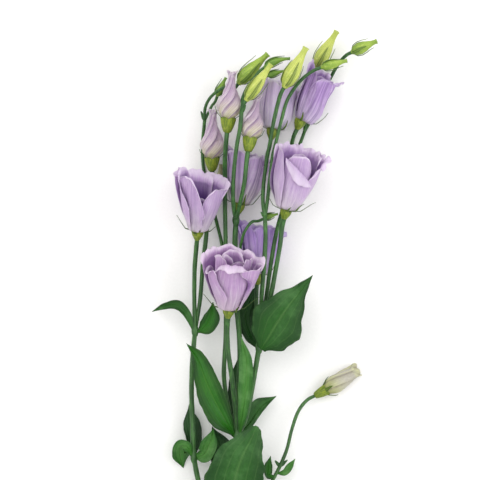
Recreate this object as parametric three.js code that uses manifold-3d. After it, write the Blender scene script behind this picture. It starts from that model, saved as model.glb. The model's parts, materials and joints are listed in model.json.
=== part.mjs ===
// A cut spray of lilac lisianthus (Eustoma), lying on a surface: one branching stem with seven open
// blooms, three lilac buds, eleven green buds and one pale bud on a low side branch, with its leaves.
// Millimetres, +Z up. The stem runs along Y, the flowers towards +Y, and the spray rests on z = 0.
import * as THREE from "three";
import Module from "manifold-3d";

const wasm = await Module();
wasm.setup();

// ---- driving dimensions, mm ----
const GRID = 0.85; // one step of the plan grid that places are given in
const GRID_CENTRE_X = 264.5; // the plan's middle, in steps: x runs right, y runs down the stem
const GRID_CENTRE_Y = 326;
const GAP = 0.3; // clearance between neighbouring pieces
const PETAL_THICKNESS = 0.7;
const LEAF_THICKNESS = 0.8;
const SEPAL_THICKNESS = 0.8;
const CUP_HEIGHT = 9; // the calyx cup under an open bloom
const CUP_RADIUS = 5;
const CUP_FOOT = 2.2;
const CUP_SIDES = 10; // a rib for each of the five sepals
const PETAL_LAP = 1.5; // how far one edge of a petal stands out over its neighbour
const PETAL_ROOT = 10.2; // height at which the petals' roots sit in the corolla's short tube
const TUBE_SHARE = 0.15; // how far up the petals that tube reaches
const TUBE_PROUD = 0.4; // how far it stands out from them
const OUTER_HALF = 56; // degrees about the axis from a petal's middle to its edge
const INNER_HALF = 50;
const INNER_SCALE = 0.58; // the inner petals' radius as a share of the outer ones'
const ROW_SPREAD = 1.4; // packs a petal's rows of faces towards its root, where it curves most
const SEPAL_WIDTH = 2.1;
const STEM_SIDES = 6;
const STEM_STEP = 33; // spacing of the stem's rings
const NODE_RADIUS = 3.1; // the swelling where leaves and branches leave the stem
const NODE_END = 1.8;
const NODE_HALF = 4;

const UP = new THREE.Vector3(0, 0, 1);
const radians = THREE.MathUtils.degToRad;

// A place on the plan grid, with its height above the surface in mm.
const plan = ([x, y, z]) => new THREE.Vector3(GRID * (x - GRID_CENTRE_X), GRID * (GRID_CENTRE_Y - y), z);

const smooth = (from, to, x) => THREE.MathUtils.smoothstep(x, from, to);

// Reads evenly spaced values as a curve, at t from 0 to 1.
function along(values, t) {
  const place = THREE.MathUtils.clamp(t, 0, 1) * (values.length - 1);
  const i = Math.min(Math.floor(place), values.length - 2);
  const part = place - i;
  const before = values[Math.max(i - 1, 0)];
  const after = values[Math.min(i + 2, values.length - 1)];
  const a = values[i];
  const b = values[i + 1];
  const bend = part * part * (3 - 2 * part);
  const slope = 0.25 * part * (1 - part);
  return a + (b - a) * bend + slope * ((b - before) * (1 - part) - (after - a) * part);
}

// ---- solids ----

// A closed solid from shared vertices and triangles, turned to face outwards.
function solid(points, triangles) {
  const vertProperties = new Float32Array(points.flatMap((p) => [p.x, p.y, p.z]));
  const build = (order) => new wasm.Manifold(
    new wasm.Mesh({ numProp: 3, vertProperties, triVerts: new Uint32Array(order.flat()) }),
  );
  const made = build(triangles);
  return made.volume() > 0 ? made : build(triangles.map(([a, b, c]) => [a, c, b]));
}

const join = (parts) => parts.reduce((sum, part) => sum.add(part));

// Of what a cut leaves, only the largest piece.
function largest(made) {
  return made.decompose().reduce((best, part) => (part.volume() > best.volume() ? part : best));
}

// A thin blade: place(s, t) is its middle surface, s across from -1 to 1 and t along from 0 to 1.
function blade(columns, rows, place, thickness) {
  const grid = [];
  for (let j = 0; j <= rows; j += 1) {
    for (let i = 0; i <= columns; i += 1) {
      grid.push(place((2 * i) / columns - 1, j / rows));
    }
  }
  const at = (i, j) => grid[j * (columns + 1) + i];
  const front = [];
  const back = [];
  for (let j = 0; j <= rows; j += 1) {
    for (let i = 0; i <= columns; i += 1) {
      const across = at(Math.min(i + 1, columns), j).clone().sub(at(Math.max(i - 1, 0), j));
      const lengthwise = at(i, Math.min(j + 1, rows)).clone().sub(at(i, Math.max(j - 1, 0)));
      const normal = across.cross(lengthwise).normalize().multiplyScalar(thickness / 2);
      front.push(at(i, j).clone().add(normal));
      back.push(at(i, j).clone().sub(normal));
    }
  }
  const half = front.length;
  const index = (i, j) => j * (columns + 1) + i;
  const triangles = [];
  for (let j = 0; j < rows; j += 1) {
    for (let i = 0; i < columns; i += 1) {
      const [a, b, c, d] = [index(i, j), index(i + 1, j), index(i + 1, j + 1), index(i, j + 1)];
      triangles.push([a, b, c], [a, c, d]);
      triangles.push([half + a, half + c, half + b], [half + a, half + d, half + c]);
    }
  }
  const rim = [];
  for (let i = 0; i < columns; i += 1) rim.push(index(i, 0));
  for (let j = 0; j < rows; j += 1) rim.push(index(columns, j));
  for (let i = columns; i > 0; i -= 1) rim.push(index(i, rows));
  for (let j = rows; j > 0; j -= 1) rim.push(index(0, j));
  rim.forEach((a, k) => {
    const b = rim[(k + 1) % rim.length];
    triangles.push([a, half + a, half + b], [a, half + b, b]);
  });
  return solid([...front, ...back], triangles);
}

// A closed loft through rings of the same number of points, capped at both ends.
function loft(rings) {
  const sides = rings[0].length;
  const points = rings.flat();
  const triangles = [];
  for (let j = 0; j < rings.length - 1; j += 1) {
    for (let i = 0; i < sides; i += 1) {
      const [a, b] = [j * sides + i, j * sides + ((i + 1) % sides)];
      triangles.push([a, b, b + sides], [a, b + sides, a + sides]);
    }
  }
  const last = (rings.length - 1) * sides;
  for (let i = 1; i < sides - 1; i += 1) {
    triangles.push([0, i + 1, i], [last, last + i, last + i + 1]);
  }
  return solid(points, triangles);
}

// Right and up across a direction; up leans towards +Z.
function across(direction) {
  const right = direction.clone().cross(UP).normalize();
  return { right, up: right.clone().cross(direction).normalize() };
}

// A loft of round rings on a curve; radius(t, angle) in mm.
function sweep(curve, ringCount, sides, radius) {
  const rings = [];
  for (let j = 0; j < ringCount; j += 1) {
    const t = j / (ringCount - 1);
    const centre = curve.getPoint(t);
    const { right, up } = across(curve.getTangent(t));
    const ring = [];
    for (let i = 0; i < sides; i += 1) {
      const angle = (2 * Math.PI * i) / sides;
      const r = radius(t, angle);
      ring.push(centre.clone()
        .addScaledVector(right, r * Math.sin(angle))
        .addScaledVector(up, r * Math.cos(angle)));
    }
    rings.push(ring);
  }
  return loft(rings);
}

// ---- an open bloom ----

// The bloom's own axes: base is the foot of the calyx, mouth the middle of its opening.
function bloomFrame(bloom) {
  const base = plan(bloom.base);
  const axis = plan(bloom.mouth).sub(base);
  const height = axis.length();
  axis.normalize();
  return { base, axis, height, ...across(axis) };
}

// Turns an angle about the axis (0 faces up, 90 right), a radius and a height into a place.
function bloomPlace(frame, bloom, angle, radius, height) {
  return frame.base.clone()
    .addScaledVector(frame.axis, height)
    .addScaledVector(frame.up, radius * Math.cos(radians(angle)) * bloom.flat)
    .addScaledVector(frame.right, radius * Math.sin(radians(angle)));
}

// The corolla's outline: a full goblet, its share of the mouth radius at t from cup to rim.
const goblet = (t, fullness) => 0.2 + 0.2 * smooth(0, 0.05, t)
  + 0.52 * (1 - (1 - t) ** fullness) + 0.08 * t * t;

function petalPlace(frame, bloom, petal, s, t) {
  const half = petal.half * (0.5 + 0.5 * smooth(0, 0.45, t));
  const angle = petal.at + s * half + bloom.twist * t;
  const rounded = 1 - petal.round * Math.abs(s - petal.lean) ** 2.6 * t;
  const flare = petal.flare * smooth(0.72, 1, t) * smooth(-1.1, 0.5, s);
  const pressed = 1 - bloom.pressed * Math.max(0, Math.cos(radians(angle - bloom.pressedAt))) ** 2;
  const wave = petal.wave * Math.sin(radians(4 * angle)) * t ** 3;
  const radius = bloom.radius * petal.scale * pressed * goblet(t, bloom.fullness)
    + PETAL_LAP * petal.lap * s + flare + wave;
  const top = (frame.height - PETAL_ROOT) * petal.high * t * rounded;
  return bloomPlace(frame, bloom, angle, radius, PETAL_ROOT + top - 0.35 * Math.abs(flare));
}

// The corolla: petals in two layers, grown together in a short tube at the foot.
function corolla(bloom) {
  const frame = bloomFrame(bloom);
  const ringAt = (height, radius) => {
    const ring = [];
    for (let i = 0; i < CUP_SIDES; i += 1) {
      ring.push(bloomPlace(frame, bloom, (360 / CUP_SIDES) * i, radius, height));
    }
    return ring;
  };
  const atShare = (t, proud) => ringAt(
    PETAL_ROOT + (frame.height - PETAL_ROOT) * t, bloom.radius * goblet(t, bloom.fullness) + proud,
  );
  const rings = [
    ringAt(CUP_HEIGHT + GAP, CUP_RADIUS - TUBE_PROUD),
    atShare(TUBE_SHARE / 2, PETAL_LAP + TUBE_PROUD),
    atShare(TUBE_SHARE, PETAL_LAP + TUBE_PROUD),
  ];
  const petals = bloom.petals.map((petal) => {
    const steps = petal.scale === 1 ? 4 : 3;
    const place = (s, t) => petalPlace(frame, bloom, petal, s, t ** ROW_SPREAD);
    return blade(steps, steps, place, PETAL_THICKNESS);
  });
  return join([loft(rings), ...petals]);
}

// A thin pointed sepal that leaves the cup's rim and stands just clear of the petals.
function sepal(frame, bloom, angle, length, spread) {
  const place = (s, t) => {
    const height = CUP_HEIGHT - 1.5 + length * t;
    const risen = THREE.MathUtils.clamp((height - PETAL_ROOT) / (frame.height - PETAL_ROOT), 0, 1);
    const clear = bloom.radius * goblet(risen, bloom.fullness) + PETAL_LAP + 2.1;
    const radius = THREE.MathUtils.lerp(CUP_RADIUS - 0.6, clear, smooth(0, 0.22, t)) + spread * t * t;
    const width = SEPAL_WIDTH * (1 - 0.75 * t);
    return bloomPlace(frame, bloom, angle + (s * width * 28) / (radius + 1), radius, height);
  };
  return blade(1, 3, place, SEPAL_THICKNESS);
}

// The calyx: a green cup on the pedicel, with its sepals grown from the rim.
function calyx(bloom) {
  const frame = bloomFrame(bloom);
  const shape = [[0, CUP_FOOT], [2.5, 2.9], [5.5, 4.2], [CUP_HEIGHT, CUP_RADIUS]];
  const rings = shape.map(([height, radius]) => {
    const ring = [];
    for (let i = 0; i < CUP_SIDES; i += 1) {
      const ridge = i % 2 ? 1 : 0.9;
      ring.push(bloomPlace(frame, bloom, (360 / CUP_SIDES) * i, radius * ridge, height));
    }
    return ring;
  });
  const sepals = bloom.sepals.map(([angle, length, spread]) => sepal(frame, bloom, angle, length,
    spread));
  return join([loft(rings), ...sepals]);
}

// Five outer petals that each lap over the next, and smaller ones inside them.
function petalRing(turn, tweaks, inner) {
  const petals = [];
  for (let i = 0; i < 5; i += 1) {
    petals.push({
      at: turn + 72 * i, half: OUTER_HALF, high: 1, round: 0.16, lean: 0,
      flare: 2, wave: 0.9, scale: 1, lap: 1, ...tweaks[i],
    });
  }
  inner.forEach(([at, high]) => {
    petals.push({
      at, half: INNER_HALF, high, round: 0.2, lean: 0,
      flare: 1, wave: 1, scale: INNER_SCALE, lap: 0.3,
    });
  });
  return petals;
}

// base and mouth on the plan grid; radius at the mouth in mm; flat is how far weight presses it.
const BLOOMS = [
  {
    name: "bloom_1", base: [197, 240, 27], mouth: [202.5, 182, 45],
    radius: 17.8, fullness: 2.7, flat: 1, twist: -8, pressedAt: 0, pressed: 0,
    petals: petalRing(-38, [
      { high: 1.02, flare: 2, lean: -0.7, round: 0.1 },
      { at: 58, high: 0.92, flare: 2, lean: 0.7, round: 0.08 },
      { high: 1, flare: 2 }, { high: 1.05, flare: 1 }, { at: -100, high: 1.12, flare: 3.5 },
    ], [[170, 0.9]]),
    sepals: [[-84, 18, 1.5], [80, 13, 0.5], [-20, 8, 0], [175, 12, 0]],
  },
  {
    name: "bloom_2", base: [228, 318, 38], mouth: [233.5, 258, 57],
    radius: 21.5, fullness: 2.7, flat: 0.95, twist: -12, pressedAt: 0, pressed: 0,
    petals: petalRing(10, [
      { high: 0.88, flare: 1.5, wave: 1.2 }, { high: 0.98, flare: 3.5, lean: 0.3 },
      { high: 1.03, flare: 2.5 },
      { high: 1.03, flare: 2.5 }, { high: 0.92, flare: 3.5, lean: -0.3 },
    ], [[-30, 0.84], [60, 0.86]]),
    sepals: [[-86, 20, 2.5], [84, 22, 2.5], [20, 8, 0], [175, 12, 0]],
  },
  {
    name: "bloom_3", base: [284, 219, 40], mouth: [299, 157, 50],
    radius: 20, fullness: 3, flat: 0.95, twist: -12, pressedAt: -90, pressed: 0,
    petals: petalRing(-26, [
      { high: 1.02, flare: 0.5, lean: -0.8, round: 0.11 }, { high: 0.94, flare: 1.5 },
      { at: 104, high: 0.98, flare: 4 },
      { high: 1.06, flare: 1.5 }, { high: 1.06, flare: 1 },
    ], [[20, 0.98], [150, 0.95]]),
    sepals: [[-86, 15, 1], [78, 16, 1.5], [40, 10, 0], [170, 12, 0]],
  },
  {
    name: "bloom_4", base: [237.5, 214, 17.5], mouth: [248.5, 157, 16.4],
    radius: 17.8, fullness: 2.6, flat: 0.9, twist: -6, pressedAt: 0, pressed: 0,
    petals: petalRing(-30, [
      { flare: 1 }, { high: 0.96, flare: 1.5 }, { flare: 2 }, { flare: 1 }, { flare: 1 },
    ], [[-10, 0.96], [120, 0.9]]),
    sepals: [[-84, 13, 1], [82, 15, 2], [20, 10, 0]],
  },
  {
    name: "bloom_5", base: [257, 285, 17], mouth: [260.5, 229, 14.6],
    radius: 16.8, fullness: 2.8, flat: 0.84, twist: -8, pressedAt: 0, pressed: 0,
    petals: petalRing(-50, [
      { flare: 0.6 }, { high: 0.95, flare: 1 }, { flare: 2.5 }, { flare: 1 }, { flare: 0.6 },
    ], [[10, 0.95], [140, 0.9]]),
    sepals: [[-80, 12, 0.5], [80, 12, 0.5], [0, 9, 0]],
  },
  {
    name: "bloom_6", base: [271, 139, 19], mouth: [281, 84, 15.6],
    radius: 15.4, fullness: 4.2, flat: 0.96, twist: 8, pressedAt: 90, pressed: 0.12,
    petals: petalRing(-66, [
      { high: 1.04, flare: 2.5 }, { high: 0.96, flare: 0, lean: 0.3 }, { high: 0.98, flare: 0 },
      { flare: 0 }, { high: 1.05, flare: 1 },
    ], [[-20, 0.98], [150, 0.9]]),
    sepals: [[-82, 13, 0.5], [50, 10, 0], [180, 12, 0]],
  },
  {
    name: "bloom_7", base: [297, 129, 21], mouth: [319.5, 77, 25],
    radius: 12.2, fullness: 4.2, flat: 1.06, twist: -8, pressedAt: -90, pressed: 0.14,
    petals: petalRing(-50, [
      { high: 1.02, flare: 0 }, { high: 0.97, flare: 0.5 }, { high: 0.96, flare: 3.5 },
      { flare: 0.5 }, { high: 1.04, flare: 0 },
    ], [[20, 0.98], [150, 0.9]]),
    sepals: [[84, 16, 3], [0, 9, 0], [180, 11, 0]],
  },
];

// ---- buds ----

const budCurve = (bud) => new THREE.QuadraticBezierCurve3(
  plan(bud.base), plan(bud.base).lerp(plan(bud.tip), 0.5).add(new THREE.Vector3(...bud.bow)),
    plan(bud.tip),
);

// A strip that hugs a bud from its foot and may leave it near the tip.
function budSepal(curve, radiusAt, angle, length, lift) {
  const place = (s, t) => {
    const u = 0.02 + length * t;
    const centre = curve.getPoint(u);
    const { right, up } = across(curve.getTangent(u));
    const r = radiusAt(u) + THREE.MathUtils.lerp(-0.4, 1, smooth(0, 0.2, t)) + lift * t * t;
    const turn = radians(angle) + (s * 1.3 * (1 - 0.72 * t)) / (r + 0.6);
    return centre.addScaledVector(right, r * Math.sin(turn)).addScaledVector(up, r * Math.cos(turn));
  };
  return blade(1, 3, place, SEPAL_THICKNESS);
}

// A closed green bud with its sepals; shares of its radius run from foot to tip.
const GREEN_BUD = [0.38, 0.86, 1, 0.86, 0.6, 0.4, 0.34];

function greenBud(bud) {
  const curve = budCurve(bud);
  const radiusAt = (t) => bud.radius * along(GREEN_BUD, t);
  const body = sweep(curve, 6, 7, radiusAt);
  return join([body, ...bud.sepals.map((one) => budSepal(curve, radiusAt, ...one))]);
}

const GREEN_BUDS = [
  {
    base: [238, 84, 31], tip: [268, 54, 33], radius: 6.2, bow: [-0.5, 1, 0],
    sepals: [[-80, 0.75, 2.5], [20, 0.7, 0], [90, 0.6, 0]],
  },
  {
    base: [246, 101, 50], tip: [271, 65, 56], radius: 5.9, bow: [0, 0.5, 1],
    sepals: [[85, 0.6, 3], [-60, 0.6, 0], [20, 0.6, 0]],
  },
  {
    base: [264, 68, 40], tip: [290, 59, 41], radius: 3.4, bow: [-1, 4, 1],
    sepals: [[-70, 0.8, 0.5], [80, 0.7, 0.5]],
  },
  {
    base: [284, 88, 47], tip: [306, 48, 50], radius: 6.9, bow: [0, 0, 1.5],
    sepals: [[-75, 0.6, 0], [15, 0.62, 0], [85, 0.6, 0.5]],
  },
  {
    base: [316, 67, 9], tip: [337, 31, 22], radius: 6.2, bow: [-0.5, 0, 1],
    sepals: [[-85, 0.62, 1.5], [85, 0.62, 2], [10, 0.6, 0]],
  },
  {
    base: [321, 68, 40], tip: [347, 61, 42], radius: 4.2, bow: [0, 0.6, 1],
    sepals: [[85, 0.8, 1.5], [-70, 0.8, 0]],
  },
  {
    base: [352, 52, 19], tip: [377, 41, 26], radius: 5.3, bow: [0, 0.6, 1],
    sepals: [[-85, 0.7, 1.5], [85, 0.8, 1.5], [10, 0.6, 0]],
  },
  {
    base: [217, 96, 10], tip: [226, 77, 12], radius: 3.3, bow: [-0.8, 0, 0.5],
    sepals: [[-80, 0.85, 1], [60, 0.7, 0]],
  },
  {
    base: [264, 218.5, 31], tip: [278, 214, 31], radius: 2.6, bow: [0, 0.8, 0],
    sepals: [[-70, 0.8, 0.4], [80, 0.7, 0.4]],
  },
  {
    base: [267, 76.5, 39], tip: [285, 71, 39], radius: 2.7, bow: [0, 1, 0],
    sepals: [[-70, 0.7, 0.4], [80, 0.7, 0.3]],
  },
  {
    base: [217, 198, 6.8], tip: [221, 164, 8], radius: 4.4, bow: [0, 0, 0],
    sepals: [[-70, 0.4, 0], [80, 0.4, 0]],
  },
];

// A lilac bud: five petals rolled round each other into a spindle with a flared tip.
const LILAC_BUD = [0.5, 0.9, 1, 0.84, 0.6, 0.4, 0.28, 0.3];
const ROLL = radians(150);

function lilacBud(bud) {
  const radius = (t, angle) => {
    const ridge = Math.cos(5 * (angle - ROLL * t)) * 0.08 * smooth(0, 0.2, t);
    return bud.radius * along(bud.shape, t) * (1 + ridge);
  };
  return sweep(budCurve(bud), 9, 10, radius);
}

// The calyx of a bud: a slim ribbed cup and thin sepals that lie along the bud.
function budCalyx(bud) {
  const foot = plan(bud.foot);
  const top = plan(bud.base);
  const length = foot.distanceTo(top);
  const budLength = top.distanceTo(plan(bud.tip));
  const axis = top.clone().sub(foot).normalize();
  const curve = new THREE.LineCurve3(foot, top.addScaledVector(axis, -2 * GAP));
  const cup = sweep(curve, 4, 10, (t, angle) => THREE.MathUtils.lerp(CUP_FOOT, bud.radius * 0.66,
    t ** 0.8)
    * (1 + 0.06 * Math.cos(5 * angle)));
  const { right, up } = across(axis);
  const sepals = bud.sepals.map(([angle, reach, spread]) => {
    const place = (s, t) => {
      const height = length * 0.8 + reach * t;
      const overBud = THREE.MathUtils.clamp((height - length) / budLength, 0, 1);
      const clear = bud.radius * (along(bud.shape, overBud) * 1.08) + 1.1;
      const r = THREE.MathUtils.lerp(bud.radius * 0.55, clear, smooth(0, 0.3, t)) + spread * t * t;
      const turn = radians(angle) + (s * 1.2 * (1 - 0.7 * t)) / (r + 0.6);
      return foot.clone().addScaledVector(axis, height)
        .addScaledVector(right, r * Math.sin(turn)).addScaledVector(up, r * Math.cos(turn));
    };
    return blade(1, 3, place, SEPAL_THICKNESS);
  });
  return join([cup, ...sepals]);
}

const LILAC_BUDS = [
  {
    name: "bud_lilac_1", foot: [227, 133, 39], base: [228.3, 119, 39.3], tip: [232, 74, 40],
    radius: 9.8, bow: [0, 0, 0], shape: LILAC_BUD, sepals: [[-84, 14, 1.2], [84, 12, 1], [180, 9, 0]],
  },
  {
    name: "bud_lilac_2", foot: [212, 171, 16], base: [212, 158, 17.5], tip: [213, 112, 23],
    radius: 9.6, bow: [0, 0, 0], shape: LILAC_BUD, sepals: [[84, 12, 2.5], [-84, 10, 0], [180, 9, 0]],
  },
  {
    name: "bud_lilac_3", foot: [248, 152, 45], base: [250, 139, 43], tip: [257, 98, 37],
    radius: 9.2, bow: [0, 0, 0], shape: LILAC_BUD, sepals: [[84, 11, 0.5], [-84, 8, 0], [180, 9, 0]],
  },
];

const PALE_BUD = {
  name: "bud_white", foot: [315, 396.5, 7.8], base: [327, 390, 7.6], tip: [355.5, 371.5, 6.6],
  radius: 7.2, bow: [0.8, 0.8, 0], shape: [0.66, 0.95, 1, 0.96, 0.9, 0.82, 0.74, 0.72],
  sepals: [[-80, 9, 0.5], [80, 9, 0.5], [0, 8, 0]],
};

// ---- the stem ----

// Where stems fork, on the plan grid.
const NODE_LOW = [226, 560, 13];
const NODE_MAIN = [237, 437, 22];
const NODE_LEFT_LOW = [194, 458, 17];
const NODE_LEFT_TOP = [195, 331, 20];
const NODE_RIGHT = [259, 348, 26];
const NODE_MIDDLE = [236, 220, 24];
const FORK_LEFT = [225, 262, 20];
const FORK_BUD_1 = [204.5, 120, 9];
const FORK_BUD_3 = [241.5, 113, 47];
const FORK_RIGHT = [265, 217, 38];
const FORK_BLOOM_6 = [266, 165, 38];
const FORK_BLOOM_7 = [290, 168, 10];
const FORK_BUD_7 = [304.5, 132, 9];
const FORK_SIDE = [280, 467, 13];

const bloomNamed = (name) => BLOOMS.find((bloom) => bloom.name === name);

// The last two places of a pedicel, in line with the flower that it carries.
function pedicelEnd(foot, towards) {
  const base = plan(foot);
  const axis = plan(towards).sub(base).normalize();
  return [base.clone().addScaledVector(axis, -7), base.clone().addScaledVector(axis, -GAP)];
}

const route = (places, end = []) => [...places.map(plan), ...end];
const toBloom = (name) => pedicelEnd(bloomNamed(name).base, bloomNamed(name).mouth);
const toBud = (bud) => pedicelEnd(bud.foot, bud.base);

function toGreenBud(bud) {
  const curve = budCurve(bud);
  const axis = curve.getTangent(0);
  const base = plan(bud.base);
  return [base.clone().addScaledVector(axis, -5), base.clone().addScaledVector(axis, -2 * GAP)];
}

// Every stretch of stem: its places, and its radius at both ends.
const ROUTES = [
  [route([[216, 621, 3], [220, 590, 7], NODE_LOW, [231, 525, 17], [235, 490, 19], [237, 460, 20],
    NODE_MAIN]), 3.3, 2.7],
  [route([NODE_LOW, [218, 545, 15], [207, 515, 17], [198, 480, 17], NODE_LEFT_LOW, [192.5, 425, 17],
    [191.5, 390, 18], [192.5, 360, 19], NODE_LEFT_TOP]), 2.5, 2.1],
  [route([NODE_LEFT_TOP, [194.3, 300, 21], [194.6, 270, 23]], toBloom("bloom_1")), 1.9, 2],
  [route([NODE_LEFT_TOP, [200, 300, 18], [203, 262, 13], [206, 237, 10], [208, 205, 9],
    [209.5, 190, 11]], toBud(LILAC_BUDS[1])), 1.8, 2.2],
  [route([NODE_MAIN, [235.5, 412, 23], [232, 378, 28], [228, 350, 32]], toBloom("bloom_2")), 2.2, 2.1],
  [route([NODE_MAIN, [234, 428, 20], [228, 405, 18], [224, 378, 18], [225.5, 340, 19], [226, 300, 19],
    FORK_LEFT]), 2, 1.9],
  [route([FORK_LEFT, [225.5, 240, 22], [225, 205, 25], [225, 182, 26], [225, 160, 33]],
    toBud(LILAC_BUDS[0])), 1.8, 2.1],
  [route([FORK_LEFT, [221, 240, 17], [216, 220, 11], [211, 200, 6], [207, 185, 3], [203, 165, 1.4],
    [202.5, 145, 2.6], FORK_BUD_1]), 1.5, 1.5],
  [route([FORK_BUD_1, [205, 108, 12], [209, 99, 17], [216, 92, 22], [226, 87, 27]],
    toGreenBud(GREEN_BUDS[0])), 1.3, 1.5],
  [route([FORK_BUD_1, [208, 113, 9], [212, 105, 9.5]], toGreenBud(GREEN_BUDS[7])), 1.2, 1.3],
  [route([NODE_MAIN, [238, 400, 20], [240, 360, 20], [239, 330, 20], [236, 300, 20], [235, 265, 20],
    [235, 240, 22], NODE_MIDDLE]), 2.4, 2.3],
  [route([NODE_MIDDLE], toBloom("bloom_4")), 1.9, 2],
  [route([NODE_MIDDLE, [234, 210, 33], [233, 195, 40], [234, 170, 44], [237, 145, 47],
    [240.3, 127, 47.5], FORK_BUD_3], toGreenBud(GREEN_BUDS[1])), 1.8, 1.8],
  [route([FORK_BUD_3, [242, 100, 41.5], [247, 88, 40.5], [255, 77, 40.5]], toGreenBud(GREEN_BUDS[2])),
    1.2, 1.3],
  [route([FORK_BUD_3, [243, 102, 42], [249, 91, 38], [257, 82, 38]], toGreenBud(GREEN_BUDS[9])), 1.1,
    1.2],
  [route([NODE_MIDDLE, [238, 212, 33], [241, 199, 40], [244.5, 182, 46]], toBud(LILAC_BUDS[2])), 1.7, 2],
  [route([[235.5, 285, 20], [239, 262, 26], [241, 244, 32], [245, 231, 37], [252, 222, 35]],
    toGreenBud(GREEN_BUDS[8])), 1.2, 1.3],
  [route([[214.8, 215, 9.8], [215.4, 209, 9]], toGreenBud(GREEN_BUDS[10])), 1.2, 1.3],
  [route([NODE_MAIN, [245, 420, 23], [250, 400, 24], [254, 378, 25], NODE_RIGHT]), 2.3, 2.2],
  [route([NODE_RIGHT, [260.5, 320, 29], [261.5, 298, 34], [264, 265, 40], [265.5, 235, 41], FORK_RIGHT]),
    2, 1.9],
  [route([FORK_RIGHT, [263, 203, 38], [263.5, 185, 38], FORK_BLOOM_6]), 1.7, 1.7],
  [route([FORK_BLOOM_6, [267, 155, 33]], toBloom("bloom_6")), 1.6, 1.9],
  [route([FORK_BLOOM_6, [269, 148, 41], [273, 125, 43], [278, 103, 45]], toGreenBud(GREEN_BUDS[3])), 1.6,
    1.8],
  [route([FORK_RIGHT, [267.5, 200, 37], [270, 178, 39], [273, 155, 40], [277, 138, 41], [282, 118, 41],
    [287, 101, 40], [294, 89, 39.5], [304, 77.5, 39.5]], toGreenBud(GREEN_BUDS[5])), 1.6, 1.5],
  [route([NODE_RIGHT, [263, 320, 24], [266, 300, 27], [270, 270, 33], [274, 245, 33], [278, 226, 27],
    [283, 208, 18], [287, 190, 12], FORK_BLOOM_7]), 2, 1.7],
  [route([FORK_BLOOM_7, [291, 150, 13]], toBloom("bloom_7")), 1.6, 1.9],
  [route([FORK_BLOOM_7, [297, 152, 8], FORK_BUD_7]), 1.5, 1.5],
  [route([FORK_BUD_7, [308, 112, 4], [313, 90, 3.4]], toGreenBud(GREEN_BUDS[4])), 1.4, 1.7],
  [route([FORK_BUD_7, [311, 120, 4.5], [320, 98, 3.4], [330, 79, 5], [339, 63, 12]],
    toGreenBud(GREEN_BUDS[6])), 1.3, 1.6],
  [route([NODE_RIGHT, [266, 318, 30], [271, 295, 34], [276, 268, 37], [280, 245, 38]],
    toBloom("bloom_3")), 2, 2.1],
  [route([NODE_RIGHT, [257.5, 330, 23], [256.5, 308, 19]], toBloom("bloom_5")), 1.6, 1.9],
  [route([NODE_LOW, [240, 538, 13], [258, 508, 13], [271, 484, 13], FORK_SIDE, [287, 450, 13],
    [292, 430, 13], [299, 411, 11]], toBud(PALE_BUD)), 1.6, 1.5],
];

const SWOLLEN = [NODE_LOW, NODE_MAIN, NODE_LEFT_LOW, NODE_LEFT_TOP, NODE_RIGHT, NODE_MIDDLE];

// Small pointed bracts at the forks: place, the way they point on the plan in degrees, length.
const BRACTS = [
  [FORK_BUD_1, 112, 9], [FORK_BUD_3, 60, 8], [FORK_RIGHT, 130, 6], [FORK_SIDE, 40, 9], [FORK_SIDE, 130,
    7],
];

function bract([place, heading, length]) {
  const root = plan(place);
  const ahead = new THREE.Vector3(Math.cos(radians(heading)), Math.sin(radians(heading)),
    0.15).normalize();
  const { right, up } = across(ahead);
  const surface = (s, t) => root.clone().addScaledVector(ahead, length * t)
    .addScaledVector(right, s * 1.3 * (1 - 0.75 * t)).addScaledVector(up,
      -0.6 * Math.abs(s) + 1.2 * t * t);
  return blade(1, 2, surface, SEPAL_THICKNESS);
}

// The stem, or with extra > 0 the same stem grown all round, as a cutter.
function stem(extra) {
  const stretches = ROUTES.map(([places, first, last]) => {
    const curve = new THREE.CatmullRomCurve3(places, false, "centripetal");
    const rings = Math.max(3, Math.round(curve.getLength() / STEM_STEP) + 1);
    return sweep(curve, rings, STEM_SIDES, (t) => THREE.MathUtils.lerp(first, last, t) + extra);
  });
  const swellings = SWOLLEN.map((place) => {
    const centre = plan(place);
    const half = new THREE.Vector3(0, NODE_HALF, 0);
    const core = new THREE.LineCurve3(centre.clone().sub(half), centre.clone().add(half));
    return sweep(core, 4, STEM_SIDES, (t) => (t > 0.1 && t < 0.9 ? NODE_RADIUS : NODE_END) + extra);
  });
  return join([...stretches, ...swellings, ...(extra > 0 ? [] : BRACTS.map(bract))]);
}

// ---- leaves ----

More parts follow.
